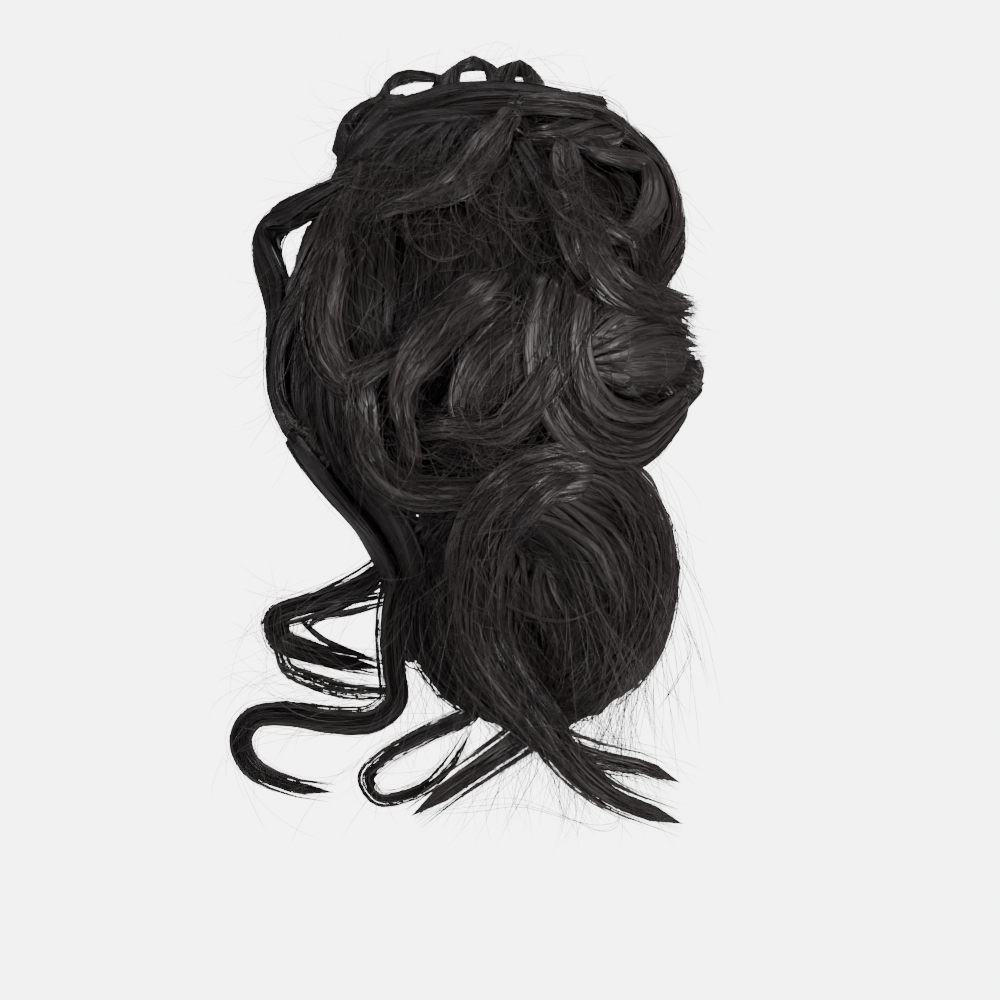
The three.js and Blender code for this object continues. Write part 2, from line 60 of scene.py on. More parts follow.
# The camera
# It looks along +Y from a metre behind the band, level with the middle of the piece, through a long lens.
def add_object(name, data):
    """A new object in the scene, for a camera, a mesh or a light."""
    made = bpy.data.objects.new(name, data)
    bpy.context.collection.objects.link(made)
    return made


camera_data = bpy.data.cameras.new("camera")
camera_data.sensor_width = 36.0
camera_data.lens = 90.8
camera = add_object("camera", camera_data)
camera.location = (-0.004, -1.0, -0.0508)
camera.rotation_euler = (math.radians(90), 0, 0)
bpy.context.scene.camera = camera

# The wound hair
# Hair sewn to the band in rows, turned back over its own ends and wound into a padded ring and a cover.
# It has a pocket for the wearer's own bun, a seat for the band and a hollow that follows the head. It is
# a closed surface: the pocket's end and wall, the seat, the hollow, and the bun's rounded outside.
HEAD = {"centre": np.array([0.0, 88.49, -62.0]), "half": np.array([92.0, 104.0, 118.0]), "mean": 100.0}
SIDEWAYS = np.array([1.0, 0.0, 0.0])
OUTWARD = (np.zeros(3) - HEAD["centre"]) / HEAD["half"] ** 2
OUTWARD /= np.linalg.norm(OUTWARD)
UPWARD = np.cross(OUTWARD, SIDEWAYS)
BUN = {
    "centre": 32.0 * OUTWARD + 5.0 * UPWARD - 12.0 * SIDEWAYS,
    "axes": np.array([SIDEWAYS, UPWARD, OUTWARD]),
    "half": np.array([66.0, 84.0, 40.0]),
}
BUN_REACH_UP = math.hypot(BUN["half"][1] * UPWARD[2], BUN["half"][2] * OUTWARD[2])
POCKET = {"radius": 26.0, "depth": 42.0}
SEAT = {"radius": 33.9, "depth": 5.4}
GAP = 0.4
ROUND_EDGE = 1.5
FLOW_TURN = 80.0
FINE_WEIGHT = 0.65
chance = np.random.default_rng(11)


def put_mesh(name, parts, material, *stands_for):
    """One mesh piece from (vertices, faces by size, flow, corner map) parts in millimetres, which may be
    many thousand faces. Flow goes along the hair: noise on it makes streaks. Each part has its own
    column of the map."""
    vertices, flows, maps, loops, sizes, base = [], [], [], [], [], 0
    for column, (points, face_sets, flow, corner_map) in enumerate(parts):
        for faces in face_sets:
            loops.append((faces + base).ravel())
            sizes.append(np.full(len(faces), faces.shape[1]))
        vertices.append(points * 0.001)
        flows.append(flow)
        maps.append((corner_map + [column, 0]) / [len(parts), 1])
        base += len(points)
    vertices, loops, sizes = np.concatenate(vertices), np.concatenate(loops), np.concatenate(sizes)
    mesh = bpy.data.meshes.new(name)
    mesh.vertices.add(len(vertices))
    mesh.vertices.foreach_set("co", vertices.ravel())
    mesh.loops.add(len(loops))
    mesh.loops.foreach_set("vertex_index", loops.astype(np.int32))
    mesh.polygons.add(len(sizes))
    mesh.polygons.foreach_set("loop_start", np.concatenate([[0], np.cumsum(sizes)[:-1]]).astype(np.int32))
    mesh.polygons.foreach_set("use_smooth", np.ones(len(sizes), bool))
    mesh.update(calc_edges=True)
    own_map = mesh.uv_layers.new(name="OFBake")
    own_map.uv.foreach_set("vector", np.concatenate(maps).astype(np.float32).ravel())
    flow = mesh.attributes.new("flow", "FLOAT_VECTOR", "POINT")
    flow.data.foreach_set("vector", np.concatenate(flows).astype(np.float32).ravel())
    mesh.materials.append(material)
    piece = add_object(name, mesh)
    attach(piece, "root")
    if stands_for:
        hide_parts(*stands_for)


def joined(*values):
    """Arrays spread over each other's shapes and put side by side on a last axis."""
    return np.stack(np.broadcast_arrays(*values), axis=-1)


def closed_grid(rows):
    """Faces and corner map of a surface closed round its columns, from rows of points whose first and
    last row each lie on one point."""
    count, sides = rows.shape[:2]
    index = np.arange(count * sides).reshape(count, sides)
    low, high = index[:-1], index[1:]
    quads = np.stack([low, np.roll(low, -1, axis=1), np.roll(high, -1, axis=1), high], axis=-1)
    u, v = np.arange(sides)[None, :, None], np.arange(count - 1)[:, None, None]
    corner_map = joined((u + np.array([0, 1, 1, 0])) / sides, (v + np.array([0, 0, 1, 1])) / (count - 1))
    points = rows.reshape(-1, 3)
    quads = quads.reshape(-1, 4)
    poles = [[index[1], index[0, 0]], [index[-2], index[-1, 0]]]
    body = quads[sides:-sides]
    first = np.stack([np.full(sides, index[0, 0]), np.roll(index[1], -1), index[1]], axis=1)
    last = np.stack([np.full(sides, index[-1, 0]), index[-2], np.roll(index[-2], -1)], axis=1)
    corner_map = corner_map.reshape(-1, 4, 2)
    first_map = corner_map[:sides][:, [0, 2, 3]]
    last_map = corner_map[-sides:][:, [3, 0, 1]]
    maps = (corner_map[sides:-sides], first_map, last_map)
    return points, [body, first, last], np.concatenate([each.reshape(-1, 2) for each in maps])


def new_group(name, inputs, outputs):
    """A node group with inputs, each with the value that it starts from, and outputs. A value of four
    numbers, or an output called Color, is a colour, and the others are single numbers."""
    group = bpy.data.node_groups.new(name, "ShaderNodeTree")
    for socket, value in inputs.items():
        kind = "NodeSocketColor" if isinstance(value, tuple) else "NodeSocketFloat"
        group.interface.new_socket(name=socket, in_out="INPUT", socket_type=kind).default_value = value
    for socket in outputs:
        kind = "NodeSocketColor" if socket == "Color" else "NodeSocketFloat"
        group.interface.new_socket(name=socket, in_out="OUTPUT", socket_type=kind)
    return group, group.nodes.new("NodeGroupInput"), group.nodes.new("NodeGroupOutput")


def new_material(name):
    """A material of nodes, with its nodes, its links and its shader."""
    material = bpy.data.materials.new(name)
    material.use_nodes = True
    nodes = material.node_tree.nodes
    return material, nodes, material.node_tree.links, nodes["Principled BSDF"]


def math_node(group, kind, *values):
    """The result of a math node of a kind on one to three values, each a socket or a number."""
    node = group.nodes.new("ShaderNodeMath")
    node.operation = kind
    for socket, value in zip(node.inputs, values):
        if isinstance(value, (int, float)):
            socket.default_value = value
        else:
            group.links.new(value, socket)
    return node.outputs["Value"]


def between_colours(group, given, share):
    """The colour at a share of the way from a group's Dark input to its Light one."""
    mix = group.nodes.new("ShaderNodeMix")
    mix.data_type = "RGBA"
    group.links.new(share, mix.inputs["Factor"])
    group.links.new(given.outputs["Dark"], mix.inputs["A"])
    group.links.new(given.outputs["Light"], mix.inputs["B"])
    return mix.outputs["Result"]


def streak_group():
    """The look of combed hair, for every hair material: noise over the flow attribute, which hardly
    changes along a hair and changes from each hair to the next. Fine noise and a slow tone together
    give a colour between two, the slow tone a roughness, and the fine noise a height."""
    starts_from = {
        "Dark": (0.008, 0.0065, 0.006, 1), "Light": (0.03, 0.024, 0.021, 1), "Smooth": 0.3, "Rough": 0.5}
    group, given, taken = new_group("hair_streaks", starts_from, ("Color", "Roughness", "Height"))
    nodes, links = group.nodes, group.links
    flow = nodes.new("ShaderNodeAttribute")
    flow.attribute_name = "flow"

    def noise(scale, detail, low, high):
        """Noise over the flow, and its share of the way from low to high."""
        texture, spread = nodes.new("ShaderNodeTexNoise"), nodes.new("ShaderNodeMapRange")
        texture.inputs["Scale"].default_value = scale
        texture.inputs["Detail"].default_value = detail
        spread.inputs["From Min"].default_value = low
        spread.inputs["From Max"].default_value = high
        links.new(flow.outputs["Vector"], texture.inputs["Vector"])
        links.new(texture.outputs["Fac"], spread.inputs["Value"])
        return texture.outputs["Fac"], spread.outputs["Result"]

    fine, fine_share = noise(1.15, 3.0, 0.38, 0.64)
    _, tone = noise(0.16, 1.0, 0.32, 0.68)
    slow_part = math_node(group, "MULTIPLY", tone, 1 - FINE_WEIGHT)
    both = math_node(group, "MULTIPLY_ADD", fine_share, FINE_WEIGHT, slow_part)
    rough = nodes.new("ShaderNodeMapRange")
    links.new(tone, rough.inputs["Value"])
    links.new(given.outputs["Smooth"], rough.inputs["To Min"])
    links.new(given.outputs["Rough"], rough.inputs["To Max"])
    links.new(between_colours(group, given, both), taken.inputs["Color"])
    links.new(rough.outputs["Result"], taken.inputs["Roughness"])
    links.new(fine, taken.inputs["Height"])
    return group


def hair_finish(name, dark, light, smooth, rough, relief, gloss=0.5):
    """A hair material from the streaks: two colours, two roughnesses, a relief in millimetres and a gloss,
    which is set lower as painted shade for hair that lies deep."""
    material, nodes, links, shader = new_material(name)
    shader.inputs["IOR"].default_value = 1.5
    shader.inputs["Specular IOR Level"].default_value = gloss
    streaks = nodes.new("ShaderNodeGroup")
    streaks.node_tree = STREAKS
    streaks.inputs["Dark"].default_value = (*dark, 1)
    streaks.inputs["Light"].default_value = (*light, 1)
    streaks.inputs["Smooth"].default_value = smooth
    streaks.inputs["Rough"].default_value = rough
    bump = nodes.new("ShaderNodeBump")
    bump.inputs["Strength"].default_value = 1.0
    bump.inputs["Distance"].default_value = relief * 0.001
    links.new(streaks.outputs["Color"], shader.inputs["Base Color"])
    links.new(streaks.outputs["Roughness"], shader.inputs["Roughness"])
    links.new(streaks.outputs["Height"], bump.inputs["Height"])
    links.new(bump.outputs["Normal"], shader.inputs["Normal"])
    return material


def on_head(points, off=GAP):
    """Points moved along the way from the head's middle until they lie on its surface: divided by the
    root of their squared shares of its half lengths, and set off by a gap, as a share of its mean half
    length."""
    part = points - HEAD["centre"]
    share = np.sqrt(np.sum((part / HEAD["half"]) ** 2, axis=-1, keepdims=True))
    return HEAD["centre"] + part / share * (1 + off / HEAD["mean"])


def bun_way(turn, polar, grow=0.0):
    """Points on the grown bun at angles round its axis and away from it: its half lengths times the
    way's parts, along its axes."""
    way = joined(np.sin(polar) * np.cos(turn), np.sin(polar) * np.sin(turn), np.cos(polar))
    return BUN["centre"] + (way * (BUN["half"] + np.asarray(grow)[..., None])) @ BUN["axes"]


def rim_polar(turn):
    """How far from the bun's axis its outside runs into the head, at each angle round the axis: the
    first of many small steps at which its point lies in the head."""
    polar = np.radians(np.linspace(70, 175, 421))
    points = bun_way(turn[:, None], polar[None])
    inside = np.sum(((points - HEAD["centre"]) / HEAD["half"]) ** 2, axis=-1) < (1 + GAP / HEAD["mean"]) ** 2
    return polar[np.argmax(inside, axis=1)]


STREAKS = streak_group()
LOCK_HAIR = hair_finish("lock_hair", (0.0038, 0.0028, 0.003), (0.038, 0.027, 0.0272), 0.25, 0.44, 1.1)
# A darker, less glossy copy of the lock hair: painted shade, used for the deep and under locks, the loops,
# the thin tendrils and curls, and the combed hair.
SHADE_DARKENED_HAIR = hair_finish(
    "shade_darkened_hair", (0.0018, 0.0013, 0.0014), (0.0125, 0.0089, 0.009), 0.34, 0.54, 1.1, gloss=0.3)
# The wound hair and the nape hair under the locks take the darkest, least glossy copy of the same hair:
# painted shade where the locks cover them.
SHADE_DARKENED_WOUND_HAIR = hair_finish(
    "wound_hair", (0.002, 0.0017, 0.0016), (0.008, 0.0064, 0.006), 0.45, 0.62, 1.0, gloss=0.2)

turn = np.linspace(0, 2 * np.pi, 128, endpoint=False)
around = np.cos(turn)[:, None] * SIDEWAYS + np.sin(turn)[:, None] * UPWARD
wall = np.linspace(POCKET["depth"] - ROUND_EDGE, SEAT["depth"], 8)
rows = [np.tile(OUTWARD * POCKET["depth"], (len(turn), 1))]
rows += [around * r + OUTWARD * POCKET["depth"] for r in (12.0, 24.0)]
rows += [around * POCKET["radius"] + OUTWARD * depth for depth in wall]
rows += [around * (SEAT["radius"] - 1) + OUTWARD * SEAT["depth"]]
seat_edge = on_head(around * SEAT["radius"], GAP)
rim = rim_polar(turn)
rim_points = bun_way(turn, rim)
rows += [around * SEAT["radius"] + OUTWARD * (SEAT["depth"] - ROUND_EDGE)]
rows += [on_head(seat_edge + (rim_points - seat_edge) * share) for share in np.linspace(0.03, 0.985, 16)]
rows += [bun_way(turn, rim * share) for share in np.linspace(1, 0, 34)]
rows = np.array(rows)
flow = joined(np.cos(turn)[None] * FLOW_TURN, np.sin(turn)[None] * FLOW_TURN,
              np.linspace(0, 3, len(rows))[:, None]).reshape(-1, 3)
points, face_sets, corner_map = closed_grid(rows)
put_mesh("wound_hair", [(points, face_sets, flow, corner_map)], SHADE_DARKENED_WOUND_HAIR, "wound_ring", "wound_cover")

# The nape hair
# Hair that falls from the bun and lies against the back of the head and the neck, under the locks. It is
# an ellipsoid whose front is pressed flat by the head and whose top is pressed in by the bun.
FALL = {"centre": np.array([8.0, -23.62, -82.0]), "axes": np.eye(3), "half": np.array([48.0, 25.0, 58.0])}


def fall_at(turn, polar, off=0.0):
    """Points on the fall at angles round it and up from its lowest point, set off by a distance: its half
    lengths times the way's parts, moved out of the bun along the way from the bun's middle, and back
    along Y out of the head."""
    way = joined(np.sin(polar) * np.cos(turn), np.sin(polar) * np.sin(turn), -np.cos(polar))
    points = FALL["centre"] + way * (FALL["half"] + off)
    part = (points - BUN["centre"]) @ BUN["axes"].T
    share = np.sqrt(np.sum((part / (BUN["half"] + GAP)) ** 2, axis=-1, keepdims=True))
    points = BUN["centre"] + (part / np.minimum(1, share)) @ BUN["axes"]
    over = (points - HEAD["centre"]) / HEAD["half"]
    flat = np.sqrt(np.maximum(0.0, 1 - over[..., 0] ** 2 - over[..., 2] ** 2))
    face_y = HEAD["centre"][1] - HEAD["half"][1] * flat - GAP + off
    inside = np.sum(over**2, axis=-1) < 1
    points[..., 1] = np.where(inside, np.minimum(points[..., 1], face_y), points[..., 1])
    return points


polar = np.linspace(0, np.pi, 40)[:, None]
turn = np.linspace(0, 2 * np.pi, 72, endpoint=False)[None]
points, face_sets, corner_map = closed_grid(fall_at(turn, polar))
flow = np.stack([points[:, 0], points[:, 1], points[:, 2] * 0.03], axis=1)
put_mesh("nape_hair_mass", [(points, face_sets, flow, corner_map)], SHADE_DARKENED_WOUND_HAIR, "nape_hair")

# The locks over the bun
# Wavy locks of the same hair, laid over the wound hair and tucked under each other at both ends. Each is
# a dense core, flat bundles over it and single hairs over those. Rows give the name, the lift at root and
# tip, the shares of width, thickness and tip section, and places as shares of the bun's reach.
LOCK_WIDTH = 20.0
LOCK_THICKNESS = 10.0
HANG_DEPTH = 40.0
FALL_BLEND = 12.0
SLOPE_FROM = 0.88
LOCKS = [
    ("crown_edge_lock", (0.5, 0.5), 1.3, 1.7, 0.4,
     [(0.67, 1.10), (0.24, 1.12), (-0.18, 1.11), (-0.56, 1.00)]),
    ("crown_right_lock", (0.5, 0.5), 1.0, 0.9, 0.4,
     [(0.15, 1.08), (0.48, 1.07), (0.79, 1.02), (1.01, 0.82)]),
    ("crown_left_lock", (0.5, 0.5), 1.3, 0.9, 0.4,
     [(-0.15, 1.05), (-0.44, 0.86), (-0.62, 0.63), (-0.67, 0.36)]),
    ("crown_middle_lock", (0.5, 0.5), 1.3, 0.9, 0.4,
     [(0.04, 1.08), (-0.18, 0.79), (-0.32, 0.51), (-0.28, 0.20)]),
    ("right_outer_curl", (0.6, 0.6), 1.4, 1.2, 0.4,
     [(0.45, 0.92), (0.80, 0.98), (1.07, 0.76), (1.15, 0.45), (1.02, 0.18)]),
    ("right_fall", (0.5, 0.5), 1.5, 0.9, 0.4,
     [(0.24, 0.84), (0.44, 0.48), (0.57, 0.10), (0.80, -0.19)]),
    ("left_outer_fall", (0.5, 0.5), 1.4, 1.0, 0.4,
     [(-0.70, 0.77), (-0.80, 0.41), (-1.01, 0.07), (-1.10, -0.23), (-1.00, -0.50)]),
    ("left_inner_fall", (0.6, 0.5), 1.4, 1.0, 0.4,
     [(-0.65, 0.49), (-0.67, 0.18), (-0.64, -0.10), (-0.52, -0.37)]),
    ("centre_fall", (0.6, 0.7), 1.1, 0.9, 0.4,
     [(0.04, 0.96), (0.09, 0.47), (0.24, 0.09), (0.39, -0.21), (0.43, -0.57)]),
    ("centre_left_fall", (0.6, 0.6), 1.3, 0.9, 0.4,
     [(-0.15, 0.37), (-0.15, 0.11), (-0.21, -0.13), (-0.44, -0.37)]),
    ("left_under_fall", (0.5, 0.5), 1.4, 0.9, 0.4,
     [(-0.90, -0.24), (-0.85, -0.56), (-0.70, -0.82), (-0.40, -1.02)]),
    ("lower_cover_lock", (0.5, 0.5), 1.5, 0.9, 0.4,
     [(0.80, -0.69), (0.40, -0.71), (0.01, -0.70), (-0.32, -0.64)]),
    ("nape_under_lock", (0.5, 0.4), 1.6, 0.9, 0.4,
     [(-0.09, -0.95), (-0.26, -1.25), (-0.31, -1.57), (-0.17, -1.87)]),
    ("nape_middle_lock", (0.5, 0.5), 1.5, 0.9, 0.4,
     [(0.12, -1.02), (0.08, -1.32), (0.12, -1.59), (0.29, -1.87)]),
    ("nape_right_lock", (0.5, 0.4), 1.6, 0.9, 0.4,
     [(0.46, -1.02), (0.46, -1.32), (0.50, -1.62), (0.44, -1.90)]),
    ("nape_edge_lock", (0.5, 0.4), 1.5, 0.9, 0.4,
     [(0.75, -1.07), (0.88, -1.35), (0.82, -1.62), (0.65, -1.87)]),
    ("right_roll", (1.2, 1.0), 1.9, 1.5, 0.6,
     [(0.62, -0.22), (0.91, -0.17), (1.22, -0.18)]),
    ("right_swirl", (1.0, 1.0), 1.2, 1.1, 0.4,
     [(0.49, 0.06), (0.46, -0.28), (0.63, -0.58), (0.96, -0.61), (1.21, -0.38)]),
    ("right_sweep", (1.6, 1.4), 1.0, 0.9, 0.4,
     [(0.54, 0.48), (0.64, 0.23), (0.86, 0.07), (1.24, 0.05)]),
    ("right_inner_ring", (1.6, 1.5), 0.55, 0.7, 0.4,
     [(0.73, 0.81), (0.97, 0.78), (1.02, 0.58), (0.86, 0.38), (0.66, 0.35)]),
    ("right_inner_strand", (1.6, 1.7), 0.6, 0.6, 0.4,
     [(0.50, 0.84), (0.52, 0.64), (0.65, 0.47), (0.85, 0.35)]),
    ("crown_swoop", (1.3, 1.2), 0.8, 0.8, 0.4,
     [(0.17, 1.02), (0.03, 0.80), (-0.16, 0.61), (-0.48, 0.51)]),
    ("left_u_curl", (1.3, 1.2), 0.9, 0.8, 0.4,
     [(-0.83, 0.24), (-0.88, -0.08), (-0.73, -0.34), (-0.50, -0.26)]),
    ("left_centre_lock", (1.3, 1.2), 1.0, 0.9, 0.4,
     [(-0.00, 0.03), (-0.26, -0.18), (-0.41, -0.41), (-0.37, -0.64)]),
    ("centre_curl", (1.4, 1.3), 1.3, 1.0, 0.4,
     [(0.31, -0.12), (0.08, -0.30), (-0.04, -0.49), (0.04, -0.68)]),
    ("centre_hook", (1.9, 1.6), 0.65, 0.7, 0.4,
     [(0.40, -0.32), (0.28, -0.48), (0.11, -0.60), (-0.14, -0.59)]),
    ("lower_left_sweep", (1.1, 1.1), 0.8, 0.8, 0.3,
     [(-0.64, -0.45), (-0.60, -0.71), (-0.42, -0.87), (-0.14, -0.90), (0.17, -0.86)]),
]
OPEN_TIPS = {"right_roll", "right_sweep", "right_swirl"}
# Locks that lie deep under the others take the darker, less glossy hair, as painted shade.
SHADE_DARKENED_LOCKS = {
    "crown_edge_lock", "crown_left_lock", "crown_middle_lock", "crown_right_lock", "centre_fall",
    "centre_left_fall", "left_inner_fall", "left_under_fall", "right_fall", "lower_cover_lock",
}
TUCK = {"reach": 34.0, "sunk": 4.0}
CARRIED_STEPS = 20
MEAN_STEPS = 12
MOST_BEND = 0.03
FLOW_ALONG = 0.02
FLOW_SPREAD = 900.0
FILL_STRETCH = 0.2
TIP_STRETCH = 0.5
RING_LENGTH = 19.0
RING_TURN = 19.0
KEPT_WITHIN = 0.88


def place_of(shares):
    """X and Z of places given as shares of the bun's half width and of its reach up, from its middle.
    A third number is a share of the hang depth behind the band, and gives Y."""
    shares = np.asarray(shares, float)
    x = BUN["centre"][0] + shares[:, 0] * BUN["half"][0]
    z = BUN["centre"][2] + shares[:, 1] * BUN_REACH_UP
    if shares.shape[1] == 2:
        return np.stack([x, z], axis=1)
    return np.stack([x, -shares[:, 2] * HANG_DEPTH, z], axis=1)


def back_face(body, x, z, grow):
    """Y where the line along Y through x and z meets a grown ellipsoid on the side that faces back: the
    ellipsoid's quadratic solved for Y. Far out towards its outline the round goes on as a straight slope."""
    half = body["half"] + np.asarray(grow)[..., None]
    start = np.stack([x - body["centre"][0], np.zeros_like(x), z - body["centre"][2]], axis=-1)
    part = start @ body["axes"].T
    rise = body["axes"][:, 1]
    square = np.sum((rise / half) ** 2, axis=-1)
    mixed = np.sum(rise * part / half**2, axis=-1)
    flat = np.sum((part / half) ** 2, axis=-1)
    reach = np.sqrt(np.maximum(0.0, flat - mixed**2 / square))
    edge = np.minimum(reach, SLOPE_FROM)
    height = np.sqrt(1 - edge**2)
    bulge = (height - edge / height * (reach - edge)) / np.sqrt(square)
    return body["centre"][1] - mixed / square / np.maximum(1.0, reach) - bulge


def unit(vectors):
    """Vectors divided by their lengths, with a least length in case one vanishes."""
    return vectors / np.maximum(1e-9, np.linalg.norm(vectors, axis=-1, keepdims=True))


def round_angles(sides):
    """Even angles all the way round a section."""
    return 2 * np.pi * np.arange(sides) / sides


def out_of(body, point, grow):
    """The way out of a grown ellipsoid at a point: its gradient, which is the point's parts along the
    axes over the squares of the half lengths."""
    half = body["half"] + np.asarray(grow)[..., None]
    part = (point - body["centre"]) @ body["axes"].T
    return unit((part / half**2) @ body["axes"])


def over_hair(x, z, grow):
    """Points and facings over the wound hair: the nearer of the bun's and the fall's back faces, with a
    smooth minimum across the blend between them."""
    on_bun = back_face(BUN, x, z, grow)
    on_fall = back_face(FALL, x, z, grow)
    share = np.clip(0.5 + (on_fall - on_bun) / (2 * FALL_BLEND), 0, 1)
    y = on_fall + (on_bun - on_fall) * share - FALL_BLEND * share * (1 - share)
    out_bun = out_of(BUN, np.stack([x, on_bun, z], axis=-1), grow)
    out_fall = out_of(FALL, np.stack([x, on_fall, z], axis=-1), grow)
    return np.stack([x, y, z], axis=-1), unit(out_fall + (out_bun - out_fall) * share[..., None])


def smooth_line(places, steps, power=0.0, mirrored=False):
    """A line of steps points through places: on each span a cubic whose end slopes come from the places
    before and after it, with spans counted by their length to a power. The outer slopes repeat the end
    place, or mirror its neighbour."""
    places = np.asarray(places, float)
    first, last = places[0], places[-1]
    if mirrored:
        first, last = 2 * places[0] - places[1], 2 * places[-1] - places[-2]
    run = np.vstack([first, places, last])
    at = np.linspace(0, len(places) - 1, steps)
    span = np.minimum(at.astype(int), len(places) - 2)
    w = (at - span)[:, None]
    a, b, c, d = (run[span + k] for k in range(4))
    ab, bc, cd = (
        np.maximum(1e-6, np.linalg.norm(q - p, axis=1, keepdims=True)) ** power
        for p, q in ((a, b), (b, c), (c, d)))
    leave = ((b - a) / ab - (c - a) / (ab + bc) + (c - b) / bc) * bc
    arrive = ((c - b) / bc - (d - b) / (bc + cd) + (d - c) / cd) * bc
    return b + leave * w + (3 * (c - b) - 2 * leave - arrive) * w**2 + (2 * (b - c) + leave + arrive) * w**3


def lock_frame(points, out, steps=120):
    """A lock's line spread at even steps, with its directions along (its slope), across (the cross
    product of the facing with it) and out (the cross product of those two), and its length. Its pace
    counts the rings that it needs up to each step: one for a length, and one for a turn."""
    run = np.concatenate([[0], np.cumsum(np.linalg.norm(np.diff(points, axis=0), axis=1))])
    at = np.linspace(0, run[-1], steps)
    points, out = (
        np.stack([np.interp(at, run, column) for column in each.T], axis=1) for each in (points, out))
    along = unit(np.gradient(points, axis=0))
    across = unit(np.cross(out, along))
    turn = np.degrees(np.arccos(np.clip(np.sum(along[1:] * along[:-1], axis=1), -1, 1)))
    pace = np.concatenate([[0], np.cumsum(run[-1] / (steps - 1) / RING_LENGTH + turn / RING_TURN)])
    return {"length": run[-1], "points": points, "along": along, "across": across,
            "out": np.cross(along, across), "pace": pace}


def at_shares(values, shares):
    """Rows of a lock's values at any shares of its length, between its even steps."""
    at = np.clip(shares, 0, 1) * (len(values) - 1)
    low = np.minimum(at.astype(int), len(values) - 2)
    w = (at - low)[..., None]
    return values[low] * (1 - w) + values[low + 1] * w


def parts_at(line, shares, *names):
    """Some of a lock's values, such as its places and its directions, at any shares of its length."""
    return [at_shares(line[name], shares) for name in names]


def paced(line, start, stop, steps):
    """Shares of a lock's length from each start to each stop, in even steps of the lock's pace."""
    even = np.linspace(0, 1, len(line["pace"]))
    first, last = np.interp(start, even, line["pace"]), np.interp(stop, even, line["pace"])
    pace = first[:, None] + (last - first)[:, None] * np.linspace(0, 1, steps)
    return np.interp(pace, line["pace"], even)


def smoothstep(share, start, end):
    """The cubic 3t^2 - 2t^3 of the way from start to end."""
    t = np.clip((share - start) / (end - start), 0, 1)
    return t * t * (3 - 2 * t)


def section_at(share, tip):
    """The share of a lock's full section along it: it fills out over its first fifth, and thins to its
    tip over its second half."""
    filled = 0.6 + 0.4 * smoothstep(share, 0, FILL_STRETCH)
    return filled * (1 + (tip - 1) * smoothstep(share, 1 - TIP_STRETCH, 1))


def outline_share(body, x, z):
    """How far out places in X and Z lie in an ellipsoid's outline, seen along Y: 1 on the outline."""
    reach = np.sqrt(((body["half"][:, None] * body["axes"][:, ::2]) ** 2).sum(axis=0))
    return np.hypot((x - body["centre"][0]) / reach[0], (z - body["centre"][2]) / reach[1])


def carried_on(flat, reach):
    """A flat line's run beyond its end for a reach, in equal steps that each turn by the mean turn of
    its last stretch, and drawn in so that it ends well inside the outline of the bun or the fall."""
    stride = reach / CARRIED_STEPS
    last = flat[-1] - flat[-2]
    before = flat[-1 - MEAN_STEPS] - flat[-2 - MEAN_STEPS]
    turn = np.arctan2(last[1], last[0]) - np.arctan2(before[1], before[0])
    turn = (turn + np.pi) % (2 * np.pi) - np.pi
    bend = np.clip(turn / np.linalg.norm(flat[-1] - flat[-1 - MEAN_STEPS]), -MOST_BEND, MOST_BEND) * stride
    angle = np.arctan2(last[1], last[0]) + bend * np.arange(1, CARRIED_STEPS + 1)
    run = flat[-1] + np.cumsum(np.stack([np.cos(angle), np.sin(angle)], axis=1) * stride, axis=0)
    on_bun, on_fall = (outline_share(body, run[:, 0], run[:, 1]) for body in (BUN, FALL))
    body, share = (BUN, on_bun) if on_bun[0] < on_fall[0] else (FALL, on_fall)
    most = np.linspace(max(share[0], KEPT_WITHIN), KEPT_WITHIN, CARRIED_STEPS)
    middle = body["centre"][::2]
    return middle + (run - middle) * np.minimum(1, most / share)[:, None]


def route_over(lift, through, reach, sunk, power, steps=160):
    """A lock's line over the wound hair: a smooth line in X and Z, carried on at the root, and at the tip
    if that has a reach, where it sinks under the hair beside it, and laid on the grown back face."""
    flat = smooth_line(place_of(through), steps, power)
    sinking = np.linspace(1, 0.05, CARRIED_STEPS)
    flat = np.vstack([carried_on(flat[::-1], reach[0])[::-1], flat])
    share = np.concatenate([np.zeros(CARRIED_STEPS), np.linspace(0, 1, steps)])
    sink = np.concatenate([sinking, np.zeros(steps)])
    if reach[1]:
        flat = np.vstack([flat, carried_on(flat, reach[1])])
        share = np.concatenate([share, np.ones(CARRIED_STEPS)])
        sink = np.concatenate([sink, np.linspace(0.05, 1, CARRIED_STEPS)])
    grow = (lift[0] + (lift[1] - lift[0]) * share) * LOCK_THICKNESS
    grow = grow + (-sunk - grow) * smoothstep(sink, 0, 1)
    return over_hair(flat[:, 0], flat[:, 1], grow)


def closed_tubes(rings, flow):
    """Many closed tubes at once, from rings of points along each: quads between one ring and the next,
    and a flat face on the first and the last. Each tube has its own strip of the map."""
    count, steps, sides, _ = rings.shape
    index = np.arange(count * steps * sides).reshape(count, steps, sides)
    low, high = index[:, :-1], index[:, 1:]
    quads = np.stack([low, np.roll(low, -1, axis=2), np.roll(high, -1, axis=2), high], axis=-1)
    ends = np.concatenate([index[:, 0, ::-1], index[:, -1]])
    cell = np.arange(count)[:, None, None, None]
    side = np.arange(sides)[None, None, :, None]
    step = np.arange(steps - 1)[None, :, None, None]
    u = (cell + (side + np.array([0.05, 0.95, 0.95, 0.05])) / sides) / count
    v = (step + np.array([0, 0, 1, 1])) / (steps - 1)
    wall_map = joined(u, v).reshape(-1, 2)
    middles = (np.tile(np.arange(count), 2) + 0.5) / count
    end_map = np.stack([np.repeat(middles, sides), np.repeat([0.0, 1.0], count * sides)], axis=1)
    faces = [quads.reshape(-1, 4), ends]
    return rings.reshape(-1, 3), faces, flow.reshape(-1, 3), np.concatenate([wall_map, end_map])


